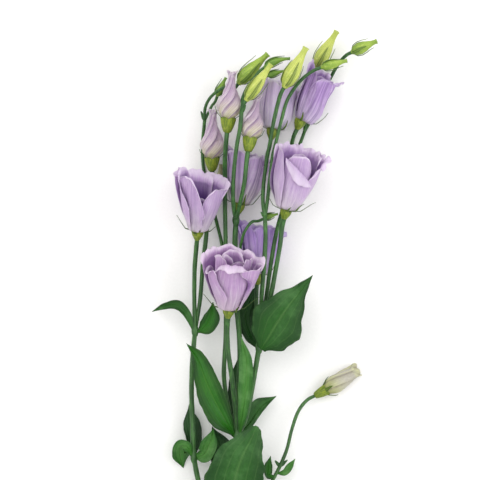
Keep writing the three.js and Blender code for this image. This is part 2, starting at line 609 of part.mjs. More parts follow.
// spine on the plan grid; left and right are half widths in grid steps from base to tip; cup is
// how far the edges stand above the rib in mm, roll turns the leaf about its rib in degrees.
const LEAVES = [
  {
    name: "leaf_left_tip",
    spine: [[193, 329, 21], [187, 314, 23], [178, 305, 21], [165, 306, 15], [151.5, 312, 9]],
    left: [1.5, 4, 5, 3.5, 0.4], right: [1.5, 4, 4.5, 3, 0.4], cup: 1.5, roll: 0,
  },
  {
    name: "leaf_left_round",
    spine: [[198, 332, 22], [205, 327, 24], [211, 317, 26], [213, 302, 25]],
    left: [1.5, 7, 7, 0.6], right: [1.5, 9, 9, 0.6], cup: 1, roll: 0,
  },
  {
    name: "leaf_broad_right",
    spine: [[261, 349, 29], [268, 338, 36], [277, 323, 41], [289, 305, 43], [301, 290, 41.5],
      [312.8, 275, 38]],
    left: [5, 19.5, 27, 18, 7.5, 0.6], right: [5, 20, 27, 17.5, 6.5, 0.6], cup: 2, roll: -6,
  },
  {
    name: "leaf_dark_mid",
    spine: [[258.5, 348.5, 24], [250, 336, 15], [245, 318, 12], [249, 302, 10], [257, 286, 7]],
    left: [1.5, 6, 9, 8, 0.5], right: [1.5, 6, 9, 8, 0.5], cup: 1.5, roll: 0,
  },
  {
    name: "leaf_tall_front",
    spine: [[234.8, 436.5, 22.5], [224.5, 418, 30], [214, 399, 33], [205, 379, 32.5],
      [197, 358, 29], [186.5, 343.5, 25]],
    left: [2, 14.5, 15, 11, 4, 0.5], right: [2, 8, 12, 12, 8, 0.5], cup: 2.5, roll: 0,
  },
  {
    name: "leaf_light_mid",
    spine: [[239.6, 434.5, 23.5], [243, 411, 31.5], [246, 385, 34], [246, 360, 34], [241, 336, 33]],
    left: [1.5, 5, 7.5, 7, 0.5], right: [1.5, 5, 7, 6, 0.5], cup: 1.5, roll: 0,
  },
  {
    name: "leaf_narrow_mid",
    spine: [[235, 435, 20], [233, 408, 13], [234, 382, 11], [239, 356, 11]],
    left: [1.5, 5, 5, 0.5], right: [1.5, 5, 5, 0.5], cup: 1, roll: 0,
  },
  {
    name: "leaf_nub_right",
    spine: [[239.4, 434.5, 19], [249, 424, 16], [261, 408, 14], [276.5, 396.5, 11]],
    left: [1.5, 9, 10, 0.5], right: [1.5, 4.5, 4, 0.5], cup: 1.5, roll: 0,
  },
  {
    name: "leaf_big_front",
    spine: [[230, 538, 17], [230, 514, 30], [234, 484, 38], [241, 459, 41], [250, 441, 40],
      [257, 426, 36]],
    left: [2, 26, 30, 25, 14, 5], right: [2, 26, 30, 25, 14, 5], cup: 3, roll: 0,
  },
  {
    name: "leaf_fold_left_a",
    spine: [[192.5, 457, 18], [187, 447, 21], [181, 447, 17], [180, 456, 9], [183, 469, 0]],
    left: [1.5, 6, 9, 9, 0.8], right: [1.5, 5, 7, 8, 0.8], cup: 1, roll: 0,
  },
  {
    name: "leaf_fold_left_b",
    spine: [[196, 457, 18], [204, 455, 24], [210, 444, 26], [213.5, 428.5, 22]],
    left: [3, 8, 9, 0.6], right: [3, 8, 7.5, 0.6], cup: 1.5, roll: 0,
  },
  {
    name: "leaf_behind_left",
    spine: [[194, 457, 15], [193, 440, 9], [191, 424, 7], [189, 405, 6]],
    left: [1.5, 7, 8, 0.5], right: [1.5, 9, 9, 0.5], cup: 1, roll: 0,
  },
  {
    name: "leaf_dark_low",
    spine: [[235.5, 482, 17.5], [227, 464, 11], [219, 446, 9], [212, 427, 8]],
    left: [1.5, 13, 13, 0.5], right: [1.5, 10, 11, 0.5], cup: 1, roll: 0,
  },
  {
    name: "leaf_side_a",
    spine: [[275, 478, 14], [269.5, 476, 15], [268.5, 467, 15], [270.8, 456.5, 12]],
    left: [1, 4, 4, 0.4], right: [1, 3.5, 4, 0.4], cup: 0.5, roll: 0,
  },
  {
    name: "leaf_side_b",
    spine: [[277, 474, 13], [285, 473, 14], [290, 467, 13], [295.5, 459.5, 10]],
    left: [1, 3.2, 3.4, 0.4], right: [1, 3.2, 3.4, 0.4], cup: 0.5, roll: 0,
  },
  {
    name: "leaf_low_a",
    spine: [[223, 560, 14], [208, 552, 16], [191, 547, 12], [173, 549, 4]],
    left: [2, 10, 10, 0.6], right: [2, 10, 10, 0.6], cup: 1.5, roll: 0,
  },
  {
    name: "leaf_low_b",
    spine: [[229, 562, 14], [245, 563, 15], [261, 558, 11], [277, 548, 4]],
    left: [2, 9, 9, 0.6], right: [2, 9, 9, 0.6], cup: 1.5, roll: 0,
  },
];

function leaf(shape) {
  const curve = new THREE.CatmullRomCurve3(shape.spine.map(plan), false, "centripetal");
  const rows = Math.max(4, shape.spine.length + 1);
  const place = (s, t) => {
    const { right, up } = across(curve.getTangent(t));
    const side = right.applyAxisAngle(curve.getTangent(t), radians(shape.roll));
    const half = GRID * along(s < 0 ? shape.left : shape.right, t);
    const rise = shape.cup * (s * s - 0.3) * Math.sin(Math.PI * t);
    return curve.getPoint(t).addScaledVector(side, s * half).addScaledVector(up, rise);
  };
  return blade(4, rows, place, LEAF_THICKNESS);
}

// ---- assembly ----

const FINISH = {
  petals: { color: 0xb695c9, roughness: 0.55, metalness: 0 },
  calyx: { color: 0x8fa338, roughness: 0.5, metalness: 0 },
  stem: { color: 0x3f7a2c, roughness: 0.45, metalness: 0 },
  leaf: { color: 0x2f6b2a, roughness: 0.5, metalness: 0 },
  greenBud: { color: 0x9db84e, roughness: 0.5, metalness: 0 },
  paleBud: { color: 0xd3cdbe, roughness: 0.6, metalness: 0 },
};

// What would reach below the surface is cut off flat on it.
const BELOW = (() => {
  const box = new THREE.BoxGeometry(1000, 1000, 100).translate(0, 0, -50);
  const place = box.getAttribute("position");
  const points = [];
  const seen = new Map();
  const triangles = [];
  const order = Array.from(box.index.array, (i) => {
    const key = `${place.getX(i)},${place.getY(i)},${place.getZ(i)}`;
    if (!seen.has(key)) {
      seen.set(key, points.length);
      points.push(new THREE.Vector3(place.getX(i), place.getY(i), place.getZ(i)));
    }
    return seen.get(key);
  });
  for (let i = 0; i < order.length; i += 3) triangles.push(order.slice(i, i + 3));
  return solid(points, triangles);
})();

const spray = new THREE.Group();

function add(name, made, finish) {
  const kept = largest(made.subtract(BELOW));
  const mesh = kept.getMesh();
  const geometry = new THREE.BufferGeometry();
  geometry.setAttribute("position", new THREE.BufferAttribute(Float32Array.from(mesh.vertProperties), 3));
  geometry.setIndex(new THREE.BufferAttribute(Uint32Array.from(mesh.triVerts), 1));
  geometry.computeVertexNormals();
  const piece = new THREE.Mesh(geometry, new THREE.MeshStandardMaterial(finish));
  piece.name = name;
  spray.add(piece);
}

const cutter = stem(GAP);

add("stem", stem(0), FINISH.stem);
LEAVES.forEach((shape) => add(shape.name, leaf(shape).subtract(cutter), FINISH.leaf));
BLOOMS.forEach((bloom) => {
  add(`${bloom.name}_petals`, corolla(bloom), FINISH.petals);
  add(`${bloom.name}_calyx`, calyx(bloom), FINISH.calyx);
});
[...LILAC_BUDS, PALE_BUD].forEach((bud) => {
  add(`${bud.name}_petals`, lilacBud(bud), bud === PALE_BUD ? FINISH.paleBud : FINISH.petals);
  add(`${bud.name}_calyx`, budCalyx(bud), FINISH.calyx);
});
GREEN_BUDS.forEach((bud, i) => add(`bud_green_${i + 1}`, greenBud(bud), FINISH.greenBud));

export default spray;
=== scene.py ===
import json
import math

import bpy
import numpy as np
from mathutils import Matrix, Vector

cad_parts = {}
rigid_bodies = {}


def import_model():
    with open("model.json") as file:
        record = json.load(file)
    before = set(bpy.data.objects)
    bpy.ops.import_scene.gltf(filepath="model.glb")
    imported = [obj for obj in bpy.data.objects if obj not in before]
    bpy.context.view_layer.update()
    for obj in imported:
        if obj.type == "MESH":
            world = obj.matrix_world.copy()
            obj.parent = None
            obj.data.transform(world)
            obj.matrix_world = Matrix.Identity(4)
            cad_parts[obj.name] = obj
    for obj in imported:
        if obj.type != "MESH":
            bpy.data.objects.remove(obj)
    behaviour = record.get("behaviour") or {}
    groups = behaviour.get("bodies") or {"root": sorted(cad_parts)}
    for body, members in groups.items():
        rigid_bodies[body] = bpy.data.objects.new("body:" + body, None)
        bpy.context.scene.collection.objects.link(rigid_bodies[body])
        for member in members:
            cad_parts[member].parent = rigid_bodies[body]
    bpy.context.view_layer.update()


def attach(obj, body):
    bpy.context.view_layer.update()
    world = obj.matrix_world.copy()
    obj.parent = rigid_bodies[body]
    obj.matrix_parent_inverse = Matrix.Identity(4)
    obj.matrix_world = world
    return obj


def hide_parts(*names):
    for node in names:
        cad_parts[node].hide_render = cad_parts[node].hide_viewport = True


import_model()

# The looks of a cut spray of lilac lisianthus that lies on a pale surface and is seen from above.
# Lengths are millimetres up to make_mesh(), which turns them into the frame's metres. Every piece
# follows the same named places and profiles as the solids that it stands for.

MM = 0.001
TURN = 2 * math.pi
TINY = 1e-9
UP = np.array([0.0, 0.0, 1.0])

# A step of the plan grid in millimetres, and the place on it that lies over the origin.
GRID = 0.85
GRID_CENTRE = (264.5, 326.0)

CUP_HEIGHT = 9.0
CUP_RADIUS = 5.0
CUP_FOOT = 2.2
PETAL_LAP = 1.5
PETAL_ROOT = 10.2
PETAL_THICKNESS = 0.28
LEAF_THICKNESS = 0.45
SEPAL_THICKNESS = 0.4
NODE_RADIUS = 3.1
NODE_HALF = 4.0
# Whatever hangs lower than this above the surface is pressed flat.
REST_DEPTH = 1.5


# ---- numbers and curves ----

def plan(place):
    """A place on the plan grid, with its height, as a point in millimetres."""
    x, y, z = place
    return np.array([GRID * (x - GRID_CENTRE[0]), GRID * (GRID_CENTRE[1] - y), float(z)])


def unit(vectors):
    return vectors / np.maximum(np.linalg.norm(vectors, axis=-1, keepdims=True), TINY)


def smooth(start, end, value):
    part = np.clip((np.asarray(value, float) - start) / (end - start), 0.0, 1.0)
    return part * part * (3 - 2 * part)


def lerp(start, end, part):
    return start + (end - start) * part


def column(values):
    return np.array(values, float)[:, None]


def strip(columns, rows):
    """A grid's s from -1 to 1 across and its t from 0 to 1 along, as a row and a column."""
    return np.linspace(-1, 1, columns)[None, :], np.linspace(0, 1, rows)[:, None]


def ring(count, turn=360.0):
    """Even steps once round, as a row."""
    return np.linspace(0, turn, count, endpoint=False)[None, :]


def along(values, t):
    """Reads evenly spaced values as a curve, at t from 0 to 1."""
    values = np.asarray(values, float)
    place = np.clip(np.asarray(t, float), 0, 1) * (len(values) - 1)
    i = np.minimum(place.astype(int), len(values) - 2)
    part = place - i
    before = values[np.maximum(i - 1, 0)]
    after = values[np.minimum(i + 2, len(values) - 1)]
    a, b = values[i], values[i + 1]
    bend = part * part * (3 - 2 * part)
    slope = 0.25 * part * (1 - part)
    return a + (b - a) * bend + slope * ((b - before) * (1 - part) - (after - a) * part)


def path_length(points):
    return float(np.sum(np.linalg.norm(np.diff(np.array(points), axis=0), axis=1)))


def spline(places, t):
    """Centripetal Catmull-Rom curve through the places, at an array of t from 0 to 1."""
    places = np.asarray(places, float)
    if len(places) == 2:
        return places[0] + (places[1] - places[0]) * t[:, None]
    padded = np.vstack([2 * places[0] - places[1], places, 2 * places[-1] - places[-2]])
    knot = np.clip(t, 0, 1) * (len(places) - 1)
    i = np.minimum(knot.astype(int), len(places) - 2)
    w = (knot - i)[:, None]
    p0, p1, p2, p3 = (padded[i + k] for k in range(4))
    d0, d1, d2 = (np.maximum(np.linalg.norm(b - a, axis=1, keepdims=True) ** 0.5, 1e-3)
                  for a, b in ((p0, p1), (p1, p2), (p2, p3)))
    t1 = ((p1 - p0) / d0 - (p2 - p0) / (d0 + d1) + (p2 - p1) / d1) * d1
    t2 = ((p2 - p1) / d1 - (p3 - p1) / (d1 + d2) + (p3 - p2) / d2) * d1
    c2 = -3 * p1 + 3 * p2 - 2 * t1 - t2
    c3 = 2 * p1 - 2 * p2 + t1 + t2
    return p1 + t1 * w + c2 * w ** 2 + c3 * w ** 3


def ripple(phase, *waves):
    """A sum of sines, each (frequency, height, shift), for a natural uneven wave."""
    total = 0.0
    for frequency, height, shift in waves:
        total = total + height * np.sin(frequency * phase + shift)
    return total


def sides(direction):
    """Right and up across each direction; up leans towards +Z."""
    right = unit(np.cross(direction, UP))
    return right, unit(np.cross(right, direction))


def swing(right, up, turn, radius):
    """Steps out from a middle line by radius, turned in radians from up towards right."""
    return radius[..., None] * (right * np.sin(turn)[..., None] + up * np.cos(turn)[..., None])


def round_rings(centres, directions, turn, radius):
    """A ring, or a part of one, round each point of a middle line."""
    right, up = sides(directions)
    return centres[:, None] + swing(right[:, None], up[:, None], turn, radius)


class Axis:
    """A straight middle line from foot to top, with right and up across it; flat shortens up."""

    def __init__(self, foot, top, flat=1.0):
        self.foot = plan(foot)
        self.length = float(np.linalg.norm(plan(top) - self.foot))
        self.ahead = (plan(top) - self.foot) / self.length
        self.right, up = sides(self.ahead)
        self.up = up * flat

    def place(self, angle, radius, height):
        """Places by their angle (0 faces up and 90 right, in degrees), radius and height."""
        return (self.foot + self.ahead * height[..., None]
                + swing(self.right, self.up, np.radians(angle), radius))


# ---- meshes ----

class Skin:
    """Gathers the vertices and faces of one piece, with a place on the petal or leaf for each."""

    def __init__(self):
        self.points = []
        self.faces = []
        self.places = []
        self.count = 0

    def add(self, points, faces, places):
        self.points.append(np.asarray(points, float).reshape(-1, 3))
        self.places.append(np.asarray(places, float).reshape(-1, 3))
        self.faces.extend(tuple(int(self.count + k) for k in face) for face in faces)
        self.count += len(self.points[-1])

    def shell(self, grid, thickness, across, lengthwise, tag=0.0):
        """A thin closed blade round a grid of middle points, rows lengthwise, columns across. Its
        places say how far across and along they lie, and their third value is tag on the inner
        face and tag + 1 on the outer one."""
        rows, columns = grid.shape[:2]
        over = np.gradient(grid, axis=1)
        ahead = np.gradient(grid, axis=0)
        offset = unit(np.cross(over, ahead)) * np.asarray(thickness)[..., None] / 2
        half = rows * columns
        index = np.arange(half).reshape(rows, columns)
        a, b = index[:-1, :-1].ravel(), index[:-1, 1:].ravel()
        c, d = index[1:, 1:].ravel(), index[1:, :-1].ravel()
        faces = list(zip(a, b, c, d)) + list(zip(half + d, half + c, half + b, half + a))
        rim = np.concatenate([index[0, :-1], index[:-1, -1], index[-1, :0:-1], index[:0:-1, 0]])
        faces += [(one, half + one, half + two, two) for one, two in zip(rim, np.roll(rim, -1))]
        s = np.broadcast_to(across, (rows, columns))
        t = np.broadcast_to(lengthwise, (rows, columns))
        places = [np.dstack([s, t, np.full_like(s, face + tag)]) for face in (1.0, 0.0)]
        self.add(np.vstack([grid + offset, grid - offset]), faces, np.vstack(places))

    def loft(self, rings, across, lengthwise, tag=0.0):
        """A closed loft through rings, with a point at both ends. tag, the third value of its
        places, is one number or a column with one for each ring."""
        count, around = rings.shape[:2]
        ends = np.vstack([rings[0].mean(axis=0), rings[-1].mean(axis=0)])
        index = np.arange(count * around).reshape(count, around)
        turned = np.roll(index, -1, axis=1)
        faces = list(zip(
            index[:-1].ravel(), turned[:-1].ravel(), turned[1:].ravel(), index[1:].ravel(),
        ))
        foot, tip = count * around, count * around + 1
        faces += [(foot, two, one) for one, two in zip(index[0], turned[0])]
        faces += [(tip, one, two) for one, two in zip(index[-1], turned[-1])]
        s = np.broadcast_to(across, (count, around))
        t = np.broadcast_to(lengthwise, (count, around))
        places = np.dstack([s, t, np.full_like(s, tag)]).reshape(-1, 3)
        places = np.vstack([places, [[0, 0, places[0, 2]], [0, 1, places[-1, 2]]]])
        self.add(np.vstack([rings.reshape(-1, 3), ends]), faces, places)

    def sepal(self, grid, s, t):
        """A sepal's blade, which grows thinner towards its tip."""
        self.shell(grid, SEPAL_THICKNESS * (1.1 - 0.6 * t), s, t, tag=1.0)


def blade_width(t, wide, taper, swell, swelled, tip):
    """Half the width of a narrow blade that swells from its foot and then runs to a point."""
    return wide * (1 - t) ** taper * (0.8 + swell * smooth(0, swelled, t)) + tip


def rested(points):
    """Presses what would sink into the surface flat against it, keeping both its faces apart."""
    low = points[:, 2] < REST_DEPTH
    points[low, 2] = REST_DEPTH * np.exp(points[low, 2] / REST_DEPTH - 1)
    return points


def shade_smooth(mesh):
    mesh.polygons.foreach_set("use_smooth", [True] * len(mesh.polygons))


def make_mesh(name, skin, material, slot, *nodes):
    """The finished piece in metres, riding on the frame's body in place of its CAD nodes."""
    mesh = bpy.data.meshes.new(name)
    points = rested(np.vstack(skin.points)) * MM
    mesh.from_pydata(points.tolist(), [], skin.faces)
    places = mesh.attributes.new("place", "FLOAT_VECTOR", "POINT")
    places.data.foreach_set("vector", np.vstack(skin.places).astype(np.float32).ravel())
    shade_smooth(mesh)
    mesh.update()
    piece = bpy.data.objects.new(name, mesh)
    bpy.context.scene.collection.objects.link(piece)
    mesh.materials.append(material)
    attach(piece, "root")
    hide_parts(*nodes)
    return piece


# ---- materials ----

OLIVE = "#a3a25a"
SEPAL_GREEN = "#35591a"
STEM_LIGHT = "#3b6d29"
STEM_DARK = "#1c4817"
STEM_SHADE = "#173d16"
STEM_BLOOM = "#6f9a66"
# The phase through which a leaf's veins run from its rib to its edge.
VEIN_PHASE = 24.0


def colour(code):
    """A hex colour as linear light."""
    parts = [int(code[k:k + 2], 16) / 255 for k in (1, 3, 5)]
    linear = [c / 12.92 if c <= 0.04045 else ((c + 0.055) / 1.055) ** 2.4 for c in parts]
    return (*linear, 1.0)


class Shader:
    """A material's node tree, with short calls for the nodes that the finishes share. across,
    length and side are the three values of the mesh's places."""

    def __init__(self, name):
        self.material = bpy.data.materials.new(name)
        self.material.use_nodes = True
        self.tree = self.material.node_tree
        self.surface = self.tree.nodes["Principled BSDF"]
        place = self.node("Attribute")
        place.attribute_name = "place"
        split = self.node("SeparateXYZ", place.outputs["Vector"])
        self.across, self.length, self.side = split.outputs
        self.object = self.node("TexCoord").outputs["Object"]
        self.normal = None

    def put(self, socket, value):
        if isinstance(value, bpy.types.NodeSocket):
            self.tree.links.new(value, socket)
        elif isinstance(value, str):
            socket.default_value = colour(value)
        else:
            socket.default_value = value

    def node(self, kind, *values, **named):
        """A new node with its first inputs, and then those that are named, filled."""
        node = self.tree.nodes.new("ShaderNode" + kind)
        for socket, value in zip(node.inputs, values):
            self.put(socket, value)
        for key, value in named.items():
            self.put(node.inputs[key.replace("_", " ")], value)
        return node

    def maths(self, operation, first, second=0.0, clamp=False):
        node = self.node("Math", first, second)
        node.operation = operation
        node.use_clamp = clamp
        return node.outputs[0]

    def times(self, first, second):
        return self.maths("MULTIPLY", first, second)

    def plus(self, first, second, clamp=False):
        return self.maths("ADD", first, second, clamp)

    def fit(self, value, low, high, to_low=0.0, to_high=1.0):
        """Maps value smoothly from one range to another."""
        node = self.node("MapRange", value, low, high, to_low, to_high)
        node.interpolation_type = "SMOOTHSTEP"
        return node.outputs["Result"]

    def mix(self, share, first, second):
        node = self.tree.nodes.new("ShaderNodeMix")
        node.data_type = "RGBA"
        self.put(node.inputs["Factor"], share)
        self.put(node.inputs[6], first)
        self.put(node.inputs[7], second)
        return node.outputs[2]

    def layers(self, base, *layers):
        """Lays colours over base one after another, each with the share it takes."""
        for share, tone in layers:
            base = self.mix(share, base, tone)
        return base

    def vector(self, x, y, z):
        return self.node("CombineXYZ", x, y, z).outputs[0]

    def noise(self, vector, scale, detail=3.0, roughness=0.5):
        node = self.node("TexNoise", Vector=vector, Scale=scale, Detail=detail, Roughness=roughness)
        return node.outputs["Fac"]

    def streaks(self, across, stretch, layer, scale, detail, roughness):
        """Noise drawn out along the length; every layer has its own."""
        vector = self.vector(across, self.times(self.length, stretch), layer)
        return self.noise(vector, scale, detail, roughness)

    def bump(self, height, distance, strength=1.0):
        node = self.node("Bump", Strength=strength, Distance=distance, Height=height)
        self.normal = node.outputs[0]
        self.put(self.surface.inputs["Normal"], self.normal)

    def finish(self, base, roughness, specular=0.5, sheen=0.0, coat=0.0):
        values = {
            "Base Color": base, "Roughness": roughness, "Specular IOR Level": specular,
            "Sheen Weight": sheen, "Sheen Roughness": 0.4, "Coat Weight": coat, "Coat Roughness": 0.35,
        }
        for key, value in values.items():
            self.put(self.surface.inputs[key], value)
        return self.material

    def glow(self, base, share):
        """Lets a share of the light through, as a thin petal or leaf does."""
        through = self.node("BsdfTranslucent", Color=base, Normal=self.normal)
        blend = self.node("MixShader", share, self.surface.outputs[0], through.outputs[0])
        self.put(self.tree.nodes["Material Output"].inputs["Surface"], blend.outputs[0])


def petal_finish(name, face, deep, heart_shade, foot, rim, band=0.12, wound=False):
    """A lilac petal: pale and then olive towards its foot, with fine lengthwise veins, ridges that are
    lightened as a painted highlight, a painted highlight on its lip and its edge, and painted shade
    that darkens its inner face into the flower. band is how strongly wide dark bands of painted fold
    shade run along it; wound paints shade on each petal of a bud towards the edge that covers it and
    a highlight along its free edge."""
    shader = Shader(name)
    fit, length, across = shader.fit, shader.length, shader.across
    inner = fit(shader.side, 0.4, 0.6, 1.0, 0.0)
    edge = shader.maths("ABSOLUTE", across)
    fan = shader.times(across, fit(length, 0.0, 1.0, 5.0, 9.0))
    veins = shader.streaks(fan, 1.1, shader.side, 3.2, 5.0, 0.62)
    threads = shader.streaks(fan, 0.6, 4.0, 9.0, 3.0, 0.6)
    ridges = shader.streaks(fan, 0.8, 9.0, 1.9, 4.0, 0.55)
    bands = shader.streaks(fan, 0.5, 14.0, 0.8, 2.0, 0.4)
    clouds = shader.noise(shader.object, 110.0, 3.0, 0.55)
    # Painted shade: the inner face darkens from the lip down into the cup, less towards the petal's sides.
    depth = shader.plus(fit(length, 0.885, 0.82, 0.08, 0.6), fit(length, 0.82, 0.5, 0.0, 0.35))
    inside = shader.times(shader.times(inner, depth), fit(edge, 0.72, 0.95, 1.0, 0.2))
    base = shader.layers(
        foot,
        (fit(length, 0.04, 0.55), face),
        (fit(veins, 0.45, 0.7, 0.0, 0.42), deep),
        (fit(clouds, 0.45, 0.75, 0.0, 0.35), rim),
        # Painted highlight on the ridges, which also raise the bump.
        (fit(ridges, 0.5, 0.72, 0.0, 0.6), rim),
        (fit(threads, 0.5, 0.72, 0.0, 0.22), deep),
        # Dark bands of painted fold shade along the petal.
        (fit(bands, 0.5, 0.64, 0.0, band), heart_shade),
        # The painted shade inside the cup.
        (inside, heart_shade),
        # Painted highlight over the lip.
        (fit(length, 0.88, 0.97, 0.0, 0.75), rim),
        # Painted highlight along the edge.
        (fit(edge, 0.93, 1.0, 0.0, 0.5), rim),
        (fit(length, 0.09, 0.0, 0.0, 0.6), OLIVE),
    )
    if wound:
        base = shader.layers(
            base,
            # Painted shade beside the edge that covers each petal, and a painted highlight along its free
            # edge.
            (fit(across, 0.3, 1.0, 0.0, 0.7), deep),
            (fit(across, -0.7, -1.0, 0.0, 0.85), rim),
        )
    shader.bump(shader.plus(shader.plus(veins, shader.times(threads, 0.7)), ridges), 0.0007, 0.6)
    shader.glow(base, 0.3)
    return shader.finish(base, fit(clouds, 0.3, 0.7, 0.46, 0.6), specular=0.35, sheen=0.12)


def green_finish(name, light, dark, pale, mottle=260.0):
    """Calyx, sepal and bud green: pale between darker lengthwise ribs, a little waxy, with sepals
    that are darker along their edges."""
    shader = Shader(name)
    fit = shader.fit
    ribs = shader.streaks(shader.times(shader.across, 4.0), 0.8, 1.0, 2.6, 4.0, 0.6)
    spots = shader.noise(shader.object, mottle, 3.0, 0.6)
    edge = fit(shader.maths("ABSOLUTE", shader.across), 0.62, 1.0, 0.0, 0.75)
    sepal = fit(shader.side, 0.4, 0.6)
    base = shader.layers(
        light,
        (fit(ribs, 0.36, 0.66), dark),
        (fit(spots, 0.5, 0.78, 0.0, 0.5), pale),
        (shader.times(sepal, shader.plus(edge, 0.55, clamp=True)), SEPAL_GREEN),
    )
    shader.bump(shader.plus(ribs, shader.times(spots, 0.4)), 0.0005, 0.5)
    shader.glow(base, 0.12)
    return shader.finish(base, fit(spots, 0.3, 0.7, 0.42, 0.54), specular=0.4, coat=0.08)


def leaf_finish(name, middle, edge, whitish, rib, whiteness):
    """A glaucous leaf: a pale rib, long curved veins and a whitish bloom worn off in places."""
    shader = Shader(name)
    fit, times, t = shader.fit, shader.times, shader.length
    size = shader.maths("ABSOLUTE", shader.across)
    bent = shader.plus(size, times(times(size, t), -0.35))
    web = shader.noise(shader.vector(times(shader.across, 6.0), times(t, 7.0), 0.0), 2.2, 5.0, 0.6)
    clouds = shader.noise(shader.object, 42.0, 4.0, 0.6)
    grain = shader.noise(shader.object, 900.0, 3.0, 0.6)
    vein = fit(shader.maths("SINE", times(shader.plus(bent, times(web, 0.05)), VEIN_PHASE)), 0.82, 1.0)
    under = fit(shader.side, 0.4, 0.6, 1.0, 0.0)
    base = shader.layers(
        middle,
        (fit(size, 0.15, 0.95), edge),
        (fit(web, 0.35, 0.7, 0.0, 0.5), edge),
        (fit(clouds, 0.44, 0.66, 0.0, whiteness), whitish),
        (fit(grain, 0.5, 0.8, 0.0, 0.12), whitish),
        (times(vein, 0.09), rib),
        (fit(size, 0.04, 0.0, 0.0, 0.22), rib),
        (times(under, 0.45), whitish),
    )
    relief = shader.maths("SUBTRACT", times(web, 0.5), times(vein, 0.35))
    shader.bump(shader.plus(relief, times(grain, 0.12)), 0.0009, 0.5)
    shader.glow(base, 0.12)
    return shader.finish(base, fit(clouds, 0.35, 0.7, 0.4, 0.56), specular=0.3)


def stem_finish():
    """Stem green, lighter in long streaks, with a thin whitish bloom."""
    shader = Shader("stem_green")
    fit = shader.fit
    stretch = shader.node("Mapping", Vector=shader.object, Scale=(1.0, 0.08, 1.0))
    streaks = shader.noise(stretch.outputs[0], 700.0, 4.0, 0.6)
    clouds = shader.noise(shader.object, 60.0, 3.0, 0.55)
    grain = shader.noise(shader.object, 1400.0, 2.0, 0.5)
    base = shader.layers(
        STEM_DARK,
        (fit(streaks, 0.38, 0.66), STEM_LIGHT),
        (fit(clouds, 0.42, 0.7, 0.0, 0.6), STEM_SHADE),
        (fit(grain, 0.5, 0.8, 0.0, 0.22), STEM_BLOOM),
    )
    shader.bump(shader.plus(streaks, shader.times(grain, 0.3)), 0.0004, 0.5)
    return shader.finish(base, fit(clouds, 0.3, 0.7, 0.38, 0.52), specular=0.45, coat=0.06)


# ---- open blooms ----

# Columns and rows of a large and of a small petal, and what counts as large.
LARGE_PETAL = (44, 56)
SMALL_PETAL = (34, 42)
LARGE_SCALE = 0.8
# The share of a petal's rows that lie below its rim line, and where along the petal that line is.
BODY_ROWS = 0.7
RIM = 0.88
# How far a petal's foot bulges down round the calyx, and how far a folded side stands off it.
FOOT_DROP = 2.2
FOLD_STEP = 1.7
# How far a petal's free edge stands proud, and how near its axis a petal may come.
FREE_EDGE = 0.7
AXIS_GAP = 0.3
# How much the seed of a petal's waves grows from one petal to the next.
PETAL_SEED_STEP = 1.37
# A petal's thickness in its middle and at its edge, as shares of PETAL_THICKNESS.
THICK_MIDDLE = 1.25
THIN_EDGE = 0.5
SEPAL_COLUMNS = 7
SEPAL_ROWS = 24
LONG_SEPAL_ROWS = 26
# How far inside the cup the sepals start, and how far they clear the petals.
SEPAL_SINK = 1.5
SEPAL_INSET = 0.7
SEPAL_CLEARANCE = 1.7
CUP_COLUMNS = 50
CUP_ROWS = 16
TUBE_COLUMNS = 40
TUBE_SINK = 0.6
PISTIL_COLUMNS = 20
STAMEN_COLUMNS = 10
STAMENS = 5
# Calyx and bud follow the five petals of the flower.
PETAL_COUNT = 5
# The profiles of narrow blades, see blade_width().
BLOOM_SEPAL = dict(wide=1.6, taper=0.6, swell=0.45, swelled=0.25, tip=0.1)
BUD_SEPAL = dict(wide=1.35, taper=0.55, swell=0.4, swelled=0.3, tip=0.08)
BRACT_SHAPE = dict(wide=1.5, taper=0.6, swell=0.4, swelled=0.4, tip=0.1)
# Painted shade, laid into the cup and in bands along the petals.
HEART_SHADE = "#5c2f86"


def petal(at, half=56, high=(0.84, 0.97, 1, 0.97, 0.84), reach=1, lip=3, curl=60, **more):
    """One petal. at and half are degrees about the axis; the lists run from its left edge to its
    right one: how high its rim stands, how far out it reaches there as a share of the goblet, and
    the width in mm of the rolled lip beyond it and how far that turns outwards, in degrees.
    scale is its share of the bloom's radius; lap is how far it stands over its neighbour on one
    side and lies under the other; fold and frill are how strongly it is creased lengthwise and
    waved along its rim; spread widens each side towards the rim, in degrees; turn is the share of
    each side that is folded back over the petal; crease is the share of the lip in which it
    bends; corner is how much lower its rim runs at the sides."""
    made = dict(at=at, half=half, high=high, reach=reach, lip=lip, curl=curl, scale=1, lap=1,
                fold=1, frill=0.7, spread=(0, 0), turn=(0, 0), crease=1, corner=0.13)
    made.update(more)
    return made


def inner_petal(at, high):
    """A small petal deep inside a bloom, with only its rim in sight."""
    return petal(at, 50, high, 0.9, 2, 20, scale=0.58, lap=0.3)


def open_bloom(base, mouth, **more):
    """A bloom. base and mouth are places on the plan grid, and radius is taken at the mouth; flat
    is how far weight presses it; pressed is the share that a neighbour pushes in at the angle
    pressed_at; belly swells the petals' foot at the right and at the left, in mm; twist turns the
    petals towards the rim, in degrees. tones are the colours of the petals' face, streaks, painted
    shade (inside the cup and in bands), foot and rim, the rim colour also painting the highlights on
    ridges, lip and edges. A sepal has its angle, its length and how far it spreads."""
    made = dict(base=base, mouth=mouth, flat=1, twist=0, pressed_at=0, pressed=0, belly=(0, 0), band=0.12)
    made.update(more)
    return made


def bloom_axis(bloom):
    return Axis(bloom["base"], bloom["mouth"], bloom["flat"])


def goblet(t, fullness):
    """The corolla's outline: its share of the mouth radius at t from cup to rim."""
    t = np.clip(t, 0, 1)
    return 0.2 + 0.2 * smooth(0, 0.05, t) + 0.52 * (1 - (1 - t) ** fullness) + 0.08 * t * t


def belly_at(bloom, angle):
    """How far the belly swells out at an angle, in full only to the right and to the left."""
    sideways = np.sin(np.radians(angle))
    return np.where(sideways > 0, bloom["belly"][0], bloom["belly"][1]) * sideways ** 2


